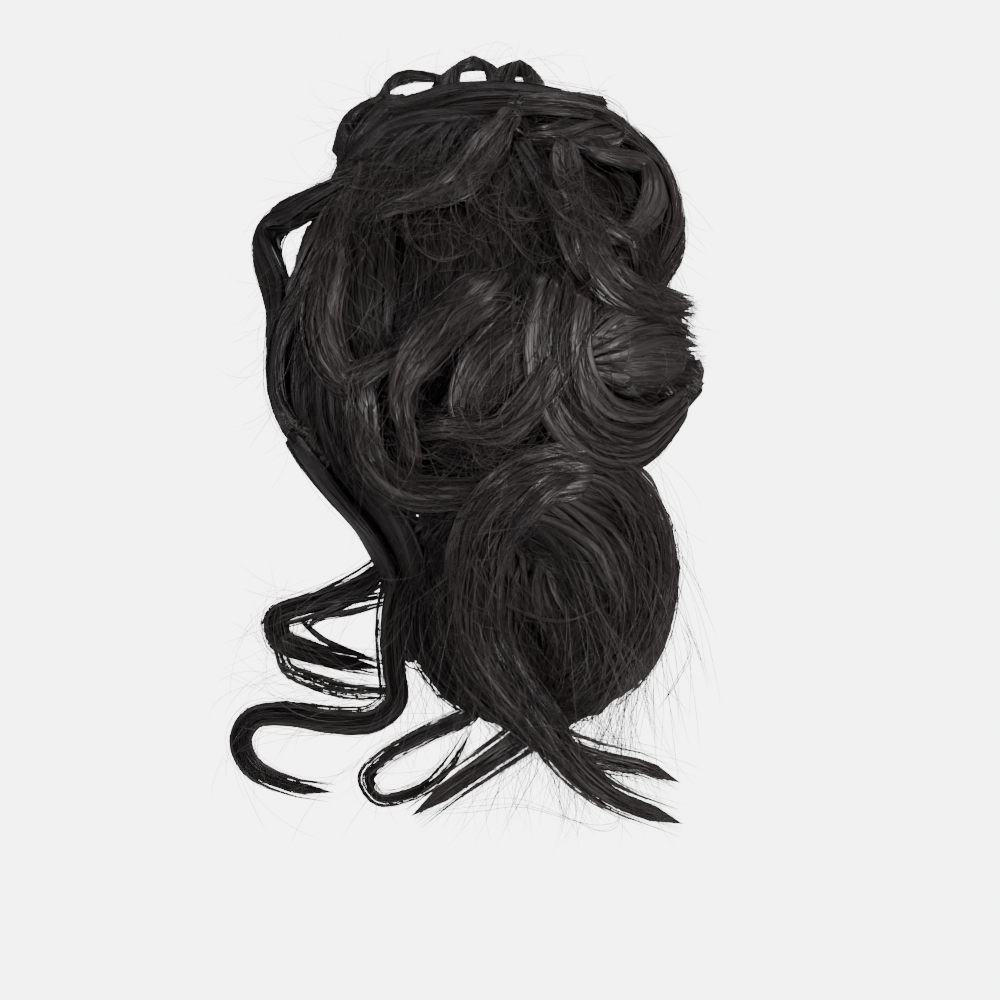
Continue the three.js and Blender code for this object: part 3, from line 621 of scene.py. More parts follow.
def tubes(paths, radii, flow, sides=3):
    """Thin tubes round paths: a regular section of a few sides, set square to each path's slope."""
    slope = unit(np.gradient(paths, axis=1))
    lead = np.where(np.abs(slope[:, :1, 1:2]) > 0.8, np.array([1.0, 0, 0]), np.array([0, 1.0, 0]))
    one = unit(np.cross(slope, lead))
    two = np.cross(slope, one)
    turn = round_angles(sides)
    ring = one[:, :, None] * np.cos(turn)[:, None] + two[:, :, None] * np.sin(turn)[:, None]
    rings = paths[:, :, None] + ring * radii[:, :, None, None]
    return closed_tubes(rings, np.repeat(flow[:, :, None], sides, axis=2))


def inner_share(share, margin):
    """The share of a lock between its sinking ends."""
    return np.clip((share - margin[0]) / (1 - margin[0] - margin[1]), 0, 1)


def fanned(share, margin, root, tip):
    """How much wider a lock's hairs lie where they come out at its root and go in at its tip: one, and a
    share at each end that fades over the sinking end."""
    ends = [max(reach, 0.02) for reach in margin]
    return 1 + root * (1 - smoothstep(share, 0, ends[0])) + tip * smoothstep(share, 1 - ends[1], 1)


def lens_tubes(middle, side_way, out_way, wide, flatness, along, sides):
    """Tubes with a lens section round middle lines: half widths along the side way, and a flatness times
    them along the out way. Flow goes along each from a place of its own."""
    turn = round_angles(sides)
    over, up = np.cos(turn)[:, None], (np.sin(turn) * flatness)[:, None]
    lens = side_way[:, :, None] * over + out_way[:, :, None] * up
    first = chance.uniform(0, FLOW_SPREAD, (len(middle), 1, 1))
    flow = joined(
        first + np.cos(turn) * wide[..., None], np.sin(turn) * wide[..., None] * 0.4, along[..., None])
    return closed_tubes(middle[:, :, None] + lens * wide[:, :, None, None], flow)


def core(line, half_wide, half_thick, tip, margin, full=0.78, bare=0.06, sides=18):
    """The dense inside of a lock: an oval section, inside the lock's own, with shallow furrows along it.
    It draws in over each sinking end, or over the bare last stretch that only hairs reach."""
    steps = int(np.clip(line["pace"][-1] * 1.3, 16, 60))
    share = paced(line, np.array([0.0]), np.array([1.0]), steps)[0]
    ends = [max(bare, reach) for reach in margin]
    drawn = smoothstep(share, 0.25 * ends[0], 1.5 * ends[0])
    drawn = drawn * (1 - smoothstep(share, 1 - 1.5 * ends[1], 1 - 0.25 * ends[1]))
    section = section_at(inner_share(share, margin), tip) * np.maximum(drawn, 0.02) * full
    turn = round_angles(sides) - np.pi / 2
    furrows = 1 + 0.07 * np.cos(4 * turn + chance.uniform(0, 6))
    furrows = furrows + 0.06 * np.cos(7 * turn + chance.uniform(0, 6))
    place, across, out = parts_at(line, share, "points", "across", "out")
    wide = (np.cos(turn) * furrows * half_wide)[None, :, None] * section[:, None, None] * across[:, None]
    deep = (np.sin(turn) * furrows * half_thick)[None, :, None] * section[:, None, None] * out[:, None]
    rows = place[:, None] + wide + deep
    rows[0], rows[-1] = place[0], place[-1]
    points, face_sets, corner_map = closed_grid(rows)
    girth = half_wide * 1.6
    flow = joined(
        np.cos(turn)[None] * girth + chance.uniform(0, 500), np.sin(turn)[None] * girth,
        (share * line["length"] * FLOW_ALONG)[:, None])
    return points, face_sets, flow.reshape(-1, 3), corner_map


def angles_in(count, facing):
    """Angles round a lock's section, of which a share lie on the half that faces out."""
    anywhere = chance.uniform(0, 2 * np.pi, count)
    outside = np.pi * chance.uniform(-0.12, 1.12, count)
    return np.where(chance.random(count) < facing, outside, anywhere)


def wisps(line, half_wide, half_thick, tip, margin, count, facing=0.85, size=(1.3, 2.6), blunt=0.25,
          tail=0.35):
    """Flat bundles of hair that make up a lock's outside. Each has a lens section and lies on the lock's
    oval, at an angle that drifts in a slow wave, and runs out to a point at both ends."""
    steps = int(np.clip(line["pace"][-1], 8, 44))
    start = chance.uniform(0, 0.9 * margin[0] + 0.03, count)
    stop = 1 - chance.uniform(0, 1, count) ** 1.5 * blunt
    share = paced(line, start, stop, steps)
    section = np.maximum(section_at(inner_share(share, margin), tip), 0.25)
    angle = angles_in(count, facing)[:, None] + 0.45 * np.sin(
        chance.uniform(0, 2 * np.pi, (count, 1)) + 2 * np.pi * chance.uniform(0.4, 1.2, (count, 1)) * share)
    off = chance.uniform(0.72, 1.0, (count, 1)) + 0.05 * np.sin(chance.uniform(0, 6, (count, 1)) + 9 * share)
    fan = fanned(share, margin, 0.3, 0.1)
    flat, high = np.cos(angle) * half_wide, np.sin(angle) * half_thick
    norm = unit(np.stack([np.cos(angle) / half_wide, np.sin(angle) / half_thick], axis=-1))
    place, across, out = parts_at(line, share, "points", "across", "out")
    flat, high = flat * off * section * fan, high * off * section
    middle = place + across * flat[..., None] + out * high[..., None]
    side_way = across * norm[..., 1:] - out * norm[..., :1]
    out_way = across * norm[..., :1] + out * norm[..., 1:]
    run = np.linspace(0, 1, steps)
    taper = np.clip(np.minimum(run / 0.2, (1 - run) / tail), 0.04, 1) ** 0.7
    wide = chance.uniform(*size, (count, 1)) * taper * np.sqrt(section)
    return lens_tubes(middle, side_way, out_way, wide, 0.4, share * line["length"] * FLOW_ALONG, sides=5)


def strands(line, half_wide, half_thick, tip, margin, count, radius=0.2, span=1.0, facing=0.7, loose=0.1,
            frizz=1.0, blunt=0.2):
    """Single hairs of a lock. Each keeps its own place in the lock's oval section, mostly near its outside,
    and is drawn towards a clump that it belongs to, more so at the tip, while clumps drift across the
    lock in slow waves. It wavers by two waves of its own, covers its own stretch of the lock, and a few
    thin ones stand off it."""
    steps = int(np.clip(line["pace"][-1] * span * 0.95, 6, 42))
    clumps = max(5, count // 9)
    member = chance.integers(0, clumps, count)
    clump_r, clump_turn = np.sqrt(chance.uniform(0.3, 1.05, clumps)), angles_in(clumps, facing)
    r = np.sqrt(chance.uniform(0.55, 1.15, count))
    astray = chance.random(count) < loose
    r = np.where(astray, chance.uniform(1.1, 1.5, count), r)
    turn = angles_in(count, facing)
    own = np.stack([r * np.cos(turn), r * np.sin(turn)], axis=1)
    clump = np.stack([clump_r * np.cos(clump_turn), clump_r * np.sin(clump_turn)], axis=1)[member]
    start = chance.uniform(0, 1.2 * margin[0] + 0.02, count) + (1 - span) * chance.uniform(0, 1, count)
    stop = np.minimum(1 - chance.uniform(0, 1, count) ** 2 * blunt, start + span)
    share = paced(line, start, stop, steps)
    inner = inner_share(share, margin)
    pull = (0.25 + 0.45 * inner**1.5) * np.where(astray, 0.2, 1.0)[:, None]
    drift_phase = chance.uniform(0, 2 * np.pi, (clumps, 1, 2))[member]
    drift_speed = chance.uniform(0.5, 1.3, (clumps, 1, 1))[member]
    drift = 0.16 * np.sin(drift_phase + 2 * np.pi * drift_speed * share[..., None]) * (0.4 + inner[..., None])
    spot = own[:, None] * (1 - pull[..., None]) + clump[:, None] * pull[..., None] + drift
    for cycles, size in ((1.4, 0.10), (3.1, 0.045)):
        phase = chance.uniform(0, 2 * np.pi, (count, 1, 2))
        speed = cycles * chance.uniform(0.6, 1.4, (count, 1, 1))
        wave = size * frizz * np.sin(phase + 2 * np.pi * speed * share[..., None])
        spot = spot + wave * (0.6 + 0.8 * inner[..., None]) * np.where(astray, 2.0, 1.0)[:, None, None]
    fan = fanned(share, margin, 0.4, 0.15)[..., None]
    section = np.maximum(section_at(inner, tip), 0.16)[..., None]
    place, across, out = parts_at(line, share, "points", "across", "out")
    flat, high = spot[..., :1] * half_wide * section * fan, spot[..., 1:] * half_thick * section
    paths = place + across * flat + out * high
    run = np.linspace(0, 1, steps)
    taper = np.clip(np.minimum(run * 8 + 0.4, (1 - run) * 3 + 0.25), 0, 1)
    own_radius = radius * chance.uniform(0.7, 1.25, (count, 1))
    radii = own_radius * np.where(astray, 0.55, 1.0)[:, None] * taper[None]
    flow = joined(chance.uniform(0, FLOW_SPREAD, (count, 1)), 0.0, share * line["length"] * FLOW_ALONG)
    return tubes(paths, radii, flow)


def oval_of(wide, thick, tip, margin):
    """A lock's half width and half thickness, its tip's share and its sinking ends."""
    return wide * LOCK_WIDTH / 2, thick * LOCK_THICKNESS / 2, tip, margin


def lock_parts(line, oval, hairs, bundles=14, full=0.78, bare=0.06, facing=0.85, size=(1.3, 2.6),
               radius=0.2, loose=0.1, frizz=1.0, blunt=0.25, tail=0.35):
    """A lock's parts: its dense core, its bundles, and its long and short hairs."""
    ways = {"radius": radius, "facing": facing, "loose": loose, "frizz": frizz, "blunt": blunt}
    return [
        core(line, *oval, full, bare),
        wisps(line, *oval, bundles, facing, size, blunt, tail),
        strands(line, *oval, hairs, **ways),
        strands(line, *oval, int(hairs * 0.55), span=0.4, **ways),
    ]


lines, ovals = {}, {}


def laid_lock(row, reach, sunk, power=0.0):
    """The line and oval of a row's lock over the wound hair, kept by name for the hairs laid on it."""
    name, lift, wide, thick, tip, through = row
    line = lock_frame(*route_over(lift, through, reach, sunk, power))
    lines[name] = line
    ovals[name] = oval_of(wide, thick, tip, (reach[0] / line["length"], reach[1] / line["length"]))
    return line, ovals[name]


for row in LOCKS:
    name, _, wide, thick = row[:4]
    look = {"blunt": 0.3}
    if name in OPEN_TIPS:
        look = {"bare": 0.03, "blunt": 0.04, "tail": 0.05, "full": 0.95}
    line, oval = laid_lock(row, (TUCK["reach"], 0.0 if name in OPEN_TIPS else TUCK["reach"]), TUCK["sunk"])
    hairs = int(np.clip((wide * LOCK_WIDTH + thick * LOCK_THICKNESS) * 1.8, 30, 58))
    parts = lock_parts(line, oval, hairs, bundles=int(10 + 7 * wide), **look)
    put_mesh(name + "_hair", parts, SHADE_DARKENED_HAIR if name in SHADE_DARKENED_LOCKS else LOCK_HAIR, name)

# The loops
# Thinner locks that stand off the bun's outline at the crown and at the wearer's left, in rows as above.
LOOPS = [
    ("left_loop", (0.6, 0.4), 0.85, 1.2, 0.5,
     [(-0.76, 0.70), (-0.91, 0.63), (-1.05, 0.57), (-1.17, 0.53), (-1.25, 0.46), (-1.27, 0.36),
      (-1.22, 0.22), (-1.16, 0.07), (-1.16, -0.14), (-1.16, -0.40), (-1.08, -0.58)]),
    ("left_bulge", (0.4, 0.4), 0.8, 1.0, 0.6,
     [(-0.56, 1.15), (-0.69, 1.10), (-0.78, 1.03), (-0.81, 0.94), (-0.73, 0.83)]),
    ("top_loop_1", (0.3, 0.3), 0.6, 0.34, 0.7,
     [(-0.61, 1.15), (-0.59, 1.24), (-0.53, 1.30), (-0.42, 1.33), (-0.30, 1.32), (-0.21, 1.29),
      (-0.17, 1.20)]),
    ("top_loop_2", (0.3, 0.3), 0.6, 0.32, 0.7,
     [(-0.22, 1.22), (-0.19, 1.32), (-0.12, 1.38), (-0.03, 1.40), (0.06, 1.37), (0.11, 1.31),
      (0.13, 1.22)]),
    ("top_loop_3", (0.3, 0.3), 0.6, 0.55, 0.7,
     [(0.10, 1.22), (0.12, 1.30), (0.16, 1.35), (0.23, 1.37), (0.30, 1.34), (0.33, 1.29),
      (0.35, 1.21)]),
]
LOOP_TUCK = {"reach": 10.0, "sunk": 2.0}
for row in LOOPS:
    line, oval = laid_lock(row, (LOOP_TUCK["reach"], LOOP_TUCK["reach"]), LOOP_TUCK["sunk"], power=0.5)
    parts = lock_parts(line, oval, 40, bundles=13, full=0.92, facing=0.0, size=(0.8, 1.6), loose=0.06,
                       frizz=1.2, radius=0.17)
    put_mesh(row[0] + "_hair", parts, SHADE_DARKENED_HAIR, row[0])

# The under and over locks
# More locks of the same hair. Most lie deeper down and show between the others: behind the crown, inside
# the right-hand ring, along the left edge and across the nape. Those with a lift over 1 at the root lie
# on top in the plain lock hair, and the rest take the darker hair with painted shade. Rows are as above.
MORE_LOCKS = [
    ("crown_fill", (0.3, 0.2), 1.3, 1.2, 0.4,
     [(-0.76, 0.88), (-0.57, 1.07), (-0.39, 1.11), (-0.18, 1.17), (0.12, 1.19), (0.42, 1.16),
      (0.74, 1.06), (0.98, 0.87)]),
    ("crown_inner_fill", (0.4, 0.4), 1.5, 1.0, 0.6,
     [(-0.77, 0.77), (-0.63, 0.94), (-0.42, 1.03), (-0.12, 1.06), (0.24, 1.05)]),
    ("ring_fill", (0.5, 0.5), 1.6, 1.0, 0.6,
     [(0.69, 0.90), (0.84, 0.74), (0.94, 0.53), (0.98, 0.30), (0.99, 0.12)]),
    ("ring_deep_fill", (0.3, 0.3), 1.6, 0.9, 0.6,
     [(0.59, 0.82), (0.71, 0.65), (0.81, 0.47), (0.93, 0.27)]),
    ("roll_under_fill", (0.8, 0.6), 1.5, 1.0, 0.7,
     [(0.74, -0.31), (0.91, -0.40), (1.09, -0.42), (1.23, -0.35)]),
    ("left_edge_fill", (0.5, 0.5), 1.4, 1.2, 0.6,
     [(-1.00, 0.13), (-1.10, -0.03), (-1.14, -0.25), (-1.10, -0.48), (-0.94, -0.71)]),
    ("left_hollow_fill", (0.2, 0.2), 1.5, 1.2, 0.6,
     [(-0.91, 0.07), (-0.99, -0.13), (-1.02, -0.33), (-0.98, -0.53), (-0.84, -0.73)]),
    ("nape_rim_fill", (0.4, 0.4), 1.4, 0.8, 0.6,
     [(0.46, -0.82), (0.76, -0.88), (0.97, -1.08), (1.05, -1.38), (0.99, -1.67), (0.77, -1.89)]),
    ("neck_left_fill", (0.5, 0.3), 1.6, 1.0, 0.6,
     [(-1.03, -0.63), (-0.82, -0.86), (-0.62, -1.07), (-0.49, -1.35), (-0.44, -1.68)]),
    ("neck_inner_fill", (0.5, 0.3), 1.5, 1.0, 0.25,
     [(-0.71, -0.78), (-0.51, -1.02), (-0.39, -1.30), (-0.32, -1.58), (-0.19, -1.83)]),
    ("nape_s_fill", (1.2, 0.9), 1.2, 0.8, 0.5,
     [(0.15, -0.86), (0.39, -0.89), (0.63, -1.01), (0.81, -1.25), (0.89, -1.53), (0.79, -1.80)]),
    ("nape_cross_fill", (0.9, 0.7), 1.0, 0.8, 0.4,
     [(-0.04, -0.95), (0.23, -1.02), (0.47, -1.18), (0.62, -1.42), (0.69, -1.68)]),
    ("nape_low_fill", (0.6, 0.4), 0.8, 0.7, 0.4,
     [(0.88, -1.42), (0.86, -1.67), (0.70, -1.87), (0.47, -1.98)]),
    ("shoulder_cover", (1.15, 1.0), 0.9, 0.6, 0.5,
     [(0.22, 1.15), (0.48, 1.15), (0.76, 1.07), (0.98, 0.89), (1.12, 0.63)]),
    ("swirl_cover", (2.0, 1.5), 1.3, 0.5, 0.6,
     [(0.46, 0.05), (0.43, -0.19), (0.50, -0.43), (0.68, -0.60), (0.93, -0.62), (1.17, -0.45)]),
    ("nape_sweep_cover", (1.7, 1.3), 1.1, 0.5, 0.6,
     [(0.59, -0.77), (0.27, -0.83), (0.07, -1.00), (-0.02, -1.25), (-0.00, -1.54), (0.13, -1.82),
      (0.34, -2.03)]),
    ("nape_right_cover", (1.5, 0.9), 1.1, 0.5, 0.5,
     [(0.41, -0.77), (0.71, -0.82), (0.95, -0.98), (1.05, -1.25), (1.01, -1.54), (0.86, -1.82)]),
]
MORE_TUCK = {"reach": 14.0, "sunk": 2.0}
under_parts, over_parts = [], []
for row in MORE_LOCKS:
    line, oval = laid_lock(row, (MORE_TUCK["reach"], MORE_TUCK["reach"]), MORE_TUCK["sunk"], power=0.5)
    if row[1][0] > 1.0:
        over_parts += lock_parts(line, oval, 56, full=0.5, blunt=0.2)
    else:
        under_parts += lock_parts(line, oval, 16, bundles=11, full=0.9, blunt=0.3, loose=0.05)
put_mesh("under_locks_hair", under_parts, SHADE_DARKENED_HAIR)
put_mesh("over_locks_hair", over_parts, LOCK_HAIR)

# The tendrils
# Curled locks that hang free behind the neck, and end in loose points. Rows give the name, the shares
# of width, thickness and tip section, and the places, whose third number is the share of the hang depth.
TENDRILS = [
    ("swirl_tendril", 0.9, 0.6, 0.3,
     [(0.28, -0.95, 2.1), (0.45, -0.79, 2.15), (0.71, -0.80, 1.9), (0.91, -0.97, 1.5),
      (0.99, -1.22, 1.25), (0.93, -1.49, 1.22), (0.74, -1.76, 1.25), (0.51, -1.93, 1.22),
      (0.31, -2.07, 1.12), (0.06, -2.23, 1), (-0.17, -2.37, 0.9), (-0.40, -2.52, 0.8)]),
    ("inner_s_tendril", 0.7, 0.6, 0.6,
     [(0.04, -1.02, 2.05), (-0.09, -1.27, 1.5), (-0.12, -1.51, 1.42), (-0.04, -1.75, 1.4),
      (0.17, -1.93, 1.45), (0.39, -2.09, 1.45), (0.67, -2.19, 1.35), (0.93, -2.24, 1.25),
      (1.16, -2.33, 1.15)]),
    ("long_s_tendril", 0.85, 0.6, 0.2,
     [(0.63, -0.69, 1.95), (0.48, -0.78, 2.2), (0.28, -0.90, 2.4), (0.09, -1.09, 2.25),
      (0.02, -1.36, 1.85), (0.03, -1.60, 1.8), (0.15, -1.79, 1.8), (0.34, -1.99, 1.8),
      (0.54, -2.22, 1.7), (0.77, -2.38, 1.5), (0.97, -2.46, 1.35), (1.17, -2.53, 1.2)]),
    ("left_s_tendril", 0.55, 0.45, 0.2,
     [(-0.23, -0.95, 2.05), (-0.44, -1.22, 1.25), (-0.52, -1.52, 1.1), (-0.51, -1.77, 1),
      (-0.50, -1.93, 0.95), (-0.62, -2.02, 0.9), (-0.87, -2.03, 0.85), (-1.11, -2.00, 0.82),
      (-1.31, -2.02, 0.78), (-1.39, -2.13, 0.74), (-1.33, -2.27, 0.7), (-1.11, -2.37, 0.65),
      (-0.85, -2.41, 0.6)]),
    ("mid_loop_tendril", 0.4, 0.35, 0.3,
     [(-0.18, -1.05, 1.9), (-0.35, -1.37, 1.27), (-0.37, -1.62, 1.18), (-0.23, -1.83, 1.15),
      (-0.05, -1.98, 1.08), (-0.28, -2.08, 1), (-0.53, -2.20, 0.9), (-0.66, -2.32, 0.85),
      (-0.58, -2.43, 0.8), (-0.32, -2.38, 0.75), (-0.14, -2.22, 0.7), (-0.03, -2.08, 0.55)]),
    ("ear_tendril", 0.6, 0.4, 0.4,
     [(-0.37, -1.07, 1.65), (-0.60, -1.29, 0.9), (-0.92, -1.44, 0.7), (-1.19, -1.52, 0.6),
      (-1.18, -1.64, 0.55), (-1.03, -1.70, 0.5), (-0.79, -1.75, 0.5), (-0.56, -1.79, 0.45)]),
    ("cheek_tendril", 0.35, 0.35, 0.4,
     [(-0.46, -1.87, 0.98), (-0.55, -1.89, 0.85), (-0.77, -1.89, 0.72), (-0.98, -1.84, 0.68),
      (-1.12, -1.78, 0.68), (-1.17, -1.67, 0.74), (-1.21, -1.58, 0.8)]),
]
TENDRIL_TIP = 0.7
TENDRIL_ENDS = (0.03, 0.03)
FACING_BACK = [0.0, -1.0, 0.0]


def hanging_line(through, steps, even):
    """A line that hangs free, smooth through its places, and its frame at even steps, facing back."""
    points = smooth_line(place_of(through), steps, power=0.5, mirrored=True)
    return lock_frame(points, np.tile(FACING_BACK, (steps, 1)), even)


for name, wide, thick, tip, through in TENDRILS:
    line = hanging_line(through, 240, 160)
    lines[name] = line
    oval = oval_of(wide, thick, max(tip, TENDRIL_TIP), TENDRIL_ENDS)
    body = {"bundles": int(7 + 7 * wide), "full": 0.5, "size": (0.6, 1.3)}
    if wide < 0.5:
        body = {"bundles": 5, "full": 0.15, "size": (0.35, 0.7)}
    if wide > 0.6:
        ovals[name] = oval
    parts = lock_parts(line, oval, int(30 + 26 * wide), bare=0.02, facing=0.3, frizz=1.5, radius=0.17,
                       blunt=0.15, tail=0.1, **body)
    put_mesh(name + "_hair", parts, LOCK_HAIR if wide > 0.6 else SHADE_DARKENED_HAIR, name)

# The thin curls
# Thin curls that hang beside the tendrils, below the ear and behind the neck. Rows give the half width
# and the places, as above.
CURLS = [
    (2.2, [(-0.50, -1.39, 0.95), (-0.86, -1.44, 0.72), (-1.10, -1.49, 0.62), (-1.27, -1.56, 0.55),
          (-1.25, -1.60, 0.55)]),
    (1.7, [(-1.21, -1.56, 0.6), (-1.15, -1.66, 0.55), (-0.88, -1.76, 0.5), (-0.55, -1.82, 0.5)]),
    (1.3, [(-1.06, -1.52, 0.62), (-0.92, -1.63, 0.56), (-0.75, -1.70, 0.5), (-0.54, -1.76, 0.5)]),
    (1.5, [(-0.50, -1.43, 0.95), (-0.74, -1.49, 0.75), (-0.94, -1.53, 0.66), (-1.05, -1.61, 0.6)]),
    (1.3, [(-0.05, -1.99, 1.05), (-0.28, -2.08, 0.95), (-0.50, -2.19, 0.88), (-0.63, -2.31, 0.84),
          (-0.60, -2.42, 0.8), (-0.39, -2.41, 0.76), (-0.19, -2.30, 0.7), (-0.09, -2.16, 0.62),
          (-0.04, -2.04, 0.6)]),
    (1.6, [(-0.55, -1.99, 0.9), (-0.75, -2.04, 0.86), (-1.04, -2.02, 0.82), (-1.26, -1.99, 0.78),
          (-1.36, -2.05, 0.76), (-1.38, -2.15, 0.74), (-1.30, -2.26, 0.7), (-1.10, -2.36, 0.65),
          (-0.92, -2.40, 0.62)]),
]
curl_parts = []
for half_wide, through in CURLS:
    shape = (hanging_line(through, 160, 120), half_wide, half_wide * 0.8, 0.7, (0.02, 0.02))
    curl_parts += [
        wisps(*shape, 4, 0.3, (0.4, 0.8), 0.15, 0.15),
        strands(*shape, 30, radius=0.16, loose=0.12, frizz=1.4, blunt=0.3),
    ]
put_mesh("thin_curls_hair", curl_parts, SHADE_DARKENED_HAIR)

# The front locks
# Plain locks over the bun's hidden upper and front side, which run from the seat up towards the top.
# Angles go round the bun's axis and away from it.
FRONT_LOCKS = 9
FRONT = {"first": -24, "spread": 220, "drift": 34, "low": 118, "rise": 52, "lift": 5.0}
share = np.linspace(0, 1, 80)
lift = np.full(len(share), FRONT["lift"])
for i in range(FRONT_LOCKS):
    turn = np.radians(FRONT["first"] + FRONT["spread"] * i / (FRONT_LOCKS - 1) + FRONT["drift"] * share)
    points = bun_way(turn, np.radians(FRONT["low"] - FRONT["rise"] * share), lift)
    name = f"front_lock_{i + 1}"
    line = lock_frame(points, out_of(BUN, points, lift))
    lines[name] = line
    parts = lock_parts(line, oval_of(1.25, 0.9, 0.5, (0.05, 0.05)), 40, bundles=13)
    put_mesh(name + "_hair", parts, LOCK_HAIR, name)

# The combed hair
# The outermost hairs of the wound hair, which lie between the locks and stray over them. They go the way
# of the locks near them and rest on whatever is under them. On the head's side they run over the bun, the
# fall and the hollow.
CELL = 1.5
ACROSS = np.arange(-100, 86, CELL)
UP = np.arange(-150, 136, CELL)


def within(body, x, z, share):
    """Which places in X and Z lie within a share of an ellipsoid's outline, seen along Y."""
    return outline_share(body, x, z) < share


def blurred(values, spread):
    """A grid's running mean both ways, weighted by a bell of a spread in cells."""
    reach = int(3 * spread)
    bell = np.exp(-0.5 * (np.arange(-reach, reach + 1) / spread) ** 2)
    bell /= bell.sum()
    for axis in (0, 1):
        values = np.apply_along_axis(np.convolve, axis, values, bell, "same")
    return values


def hair_surface():
    """Y of the hair's outside over a grid of X and Z: the wound hair's back face, and the ovals of the
    locks that lie over it where they stand further back. Hollows between them are bridged by a blur,
    and beyond the outline the depth goes on as a wider blur. Also which cells have hair."""
    x, z = np.meshgrid(ACROSS, UP)
    has = within(BUN, x, z, 1.0) | within(FALL, x, z, 1.0)
    face = np.where(has, over_hair(x, z, np.full(x.shape, 0.5))[0][..., 1], 1e3)
    share = np.linspace(0, 1, 220)[:, None]
    angle = np.linspace(0, np.pi, 25)[None]
    for name, (half_wide, half_thick, tip, margin) in ovals.items():
        place, across, out = parts_at(lines[name], share, "points", "across", "out")
        section = section_at(inner_share(share, margin), tip)
        top = (place + across * (np.cos(angle) * half_wide * section)[..., None]
               + out * (np.sin(angle) * half_thick * section)[..., None]).reshape(-1, 3)
        column = np.clip(np.rint((top[:, 0] - ACROSS[0]) / CELL).astype(int), 0, len(ACROSS) - 1)
        row = np.clip(np.rint((top[:, 2] - UP[0]) / CELL).astype(int), 0, len(UP) - 1)
        np.minimum.at(face, (row, column), top[:, 1])
    has = face < 900
    known = np.where(has, face, 0.0)
    near = blurred(known, 2.0) / np.maximum(1e-3, blurred(has.astype(float), 2.0))
    far = blurred(known, 7.0) / np.maximum(1e-6, blurred(has.astype(float), 7.0))
    close = blurred(has.astype(float), 2.0) > 0.05
    return np.where(has, np.minimum(known, near), np.where(close, near, far)), has.astype(float)


def on_grid(grid, x, z):
    """A grid's value at any places, between its four cells."""
    column = np.clip((x - ACROSS[0]) / CELL, 0, len(ACROSS) - 1.001)
    row = np.clip((z - UP[0]) / CELL, 0, len(UP) - 1.001)
    i, j = row.astype(int), column.astype(int)
    v, u = row - i, column - j
    return ((grid[i, j] * (1 - u) + grid[i, j + 1] * u) * (1 - v)
            + (grid[i + 1, j] * (1 - u) + grid[i + 1, j + 1] * u) * v)


SURFACE, HAS_HAIR = hair_surface()
COMB_SPOTS = np.concatenate([lines[name]["points"][::4] for name in ovals])
COMB_SLOPES = np.concatenate([lines[name]["along"][::4, ::2] for name in ovals])
COMB_DOUBLE = np.stack([
    COMB_SLOPES[:, 0] ** 2 - COMB_SLOPES[:, 1] ** 2, 2 * COMB_SLOPES[:, 0] * COMB_SLOPES[:, 1]], axis=1)


def on_hair(flat, least):
    """Which points of lines in X and Z lie where a least share of the cells round them has hair."""
    return on_grid(HAS_HAIR, flat[..., 0], flat[..., 1]) > least


def combed(x, z, steps, strides, astray, bend, bell=7.0):
    """Lines in X and Z that follow the locks near them. Each step goes the way of the locks' slopes,
    counted by doubled angles so that opposite ways agree, with weights that fall off as a bell and with
    depth under the surface, turned by the line's own astray angle, which grows by its own bend. Those two
    are drawn with a spread each, and the stride between two ends."""
    stride = chance.uniform(*strides, len(x))
    astray, bend = chance.normal(0, astray, len(x)), chance.normal(0, bend, len(x))
    place = np.stack([x, z], axis=1)
    path, before = [place], None
    for step in range(steps - 1):
        apart = np.sum((place[:, None] - COMB_SPOTS[None, :, ::2]) ** 2, axis=2)
        deep = np.maximum(0.0, COMB_SPOTS[None, :, 1] - on_grid(SURFACE, place[:, 0], place[:, 1])[:, None])
        double = np.exp(-apart / (2 * bell**2) - deep / 6.0) @ COMB_DOUBLE
        angle = np.arctan2(double[:, 1], double[:, 0] + 1e-12) / 2
        way = np.stack([np.cos(angle), np.sin(angle)], axis=1)
        if before is None:
            before = np.where(way[:, 1:] > 0, -way, way)
        way = way * np.sign(np.sum(way * before, axis=1, keepdims=True) + 1e-9)
        before = way
        off = astray + bend * step
        cos, sin = np.cos(off), np.sin(off)
        way = np.stack([way[:, 0] * cos - way[:, 1] * sin, way[:, 0] * sin + way[:, 1] * cos], axis=1)
        place = place + way * stride[:, None]
        path.append(place)
    return np.stack(path, axis=1)


def draped(flat, lay):
    """Lines in X and Z laid on the hair's outside, a little off it, and made even along their length."""
    under = on_grid(SURFACE, flat[..., 0], flat[..., 1])
    y = under - lay[:, None]
    for _ in range(2):
        y[:, 1:-1] = (y[:, :-2] + 2 * y[:, 1:-1] + y[:, 2:]) / 4
    return np.stack([flat[..., 0], np.minimum(y, under - 0.15), flat[..., 1]], axis=-1)


def hair_tubes(paths, radius, stretch=1.2):
    """Tubes round free hairs: each has a radius of its own and thins towards both ends."""
    count, steps, _ = paths.shape
    run = np.linspace(0, 1, steps)
    taper = np.clip(np.minimum(run * 6 + 0.3, (1 - run) * 4 + 0.2), 0, 1)
    radii = radius * chance.uniform(0.7, 1.2, (count, 1)) * taper[None]
    flow = joined(chance.uniform(0, FLOW_SPREAD, (count, 1)), 0.0, run[None] * stretch)
    return tubes(paths, radii, flow)


def flat_bundles(paths, size):
    """Flat bundles along free paths, with a lens section that faces back, pointed at both ends."""
    count, steps, _ = paths.shape
    slope = unit(np.gradient(paths, axis=1))
    side_way = unit(np.cross(np.array(FACING_BACK), slope))
    out_way = np.cross(slope, side_way)
    run = np.linspace(0, 1, steps)
    taper = np.clip(np.minimum(run / 0.25, (1 - run) / 0.3), 0.05, 1) ** 0.6
    wide = chance.uniform(*size, (count, 1)) * taper
    return lens_tubes(paths, side_way, out_way, wide, 0.35, run[None], sides=6)


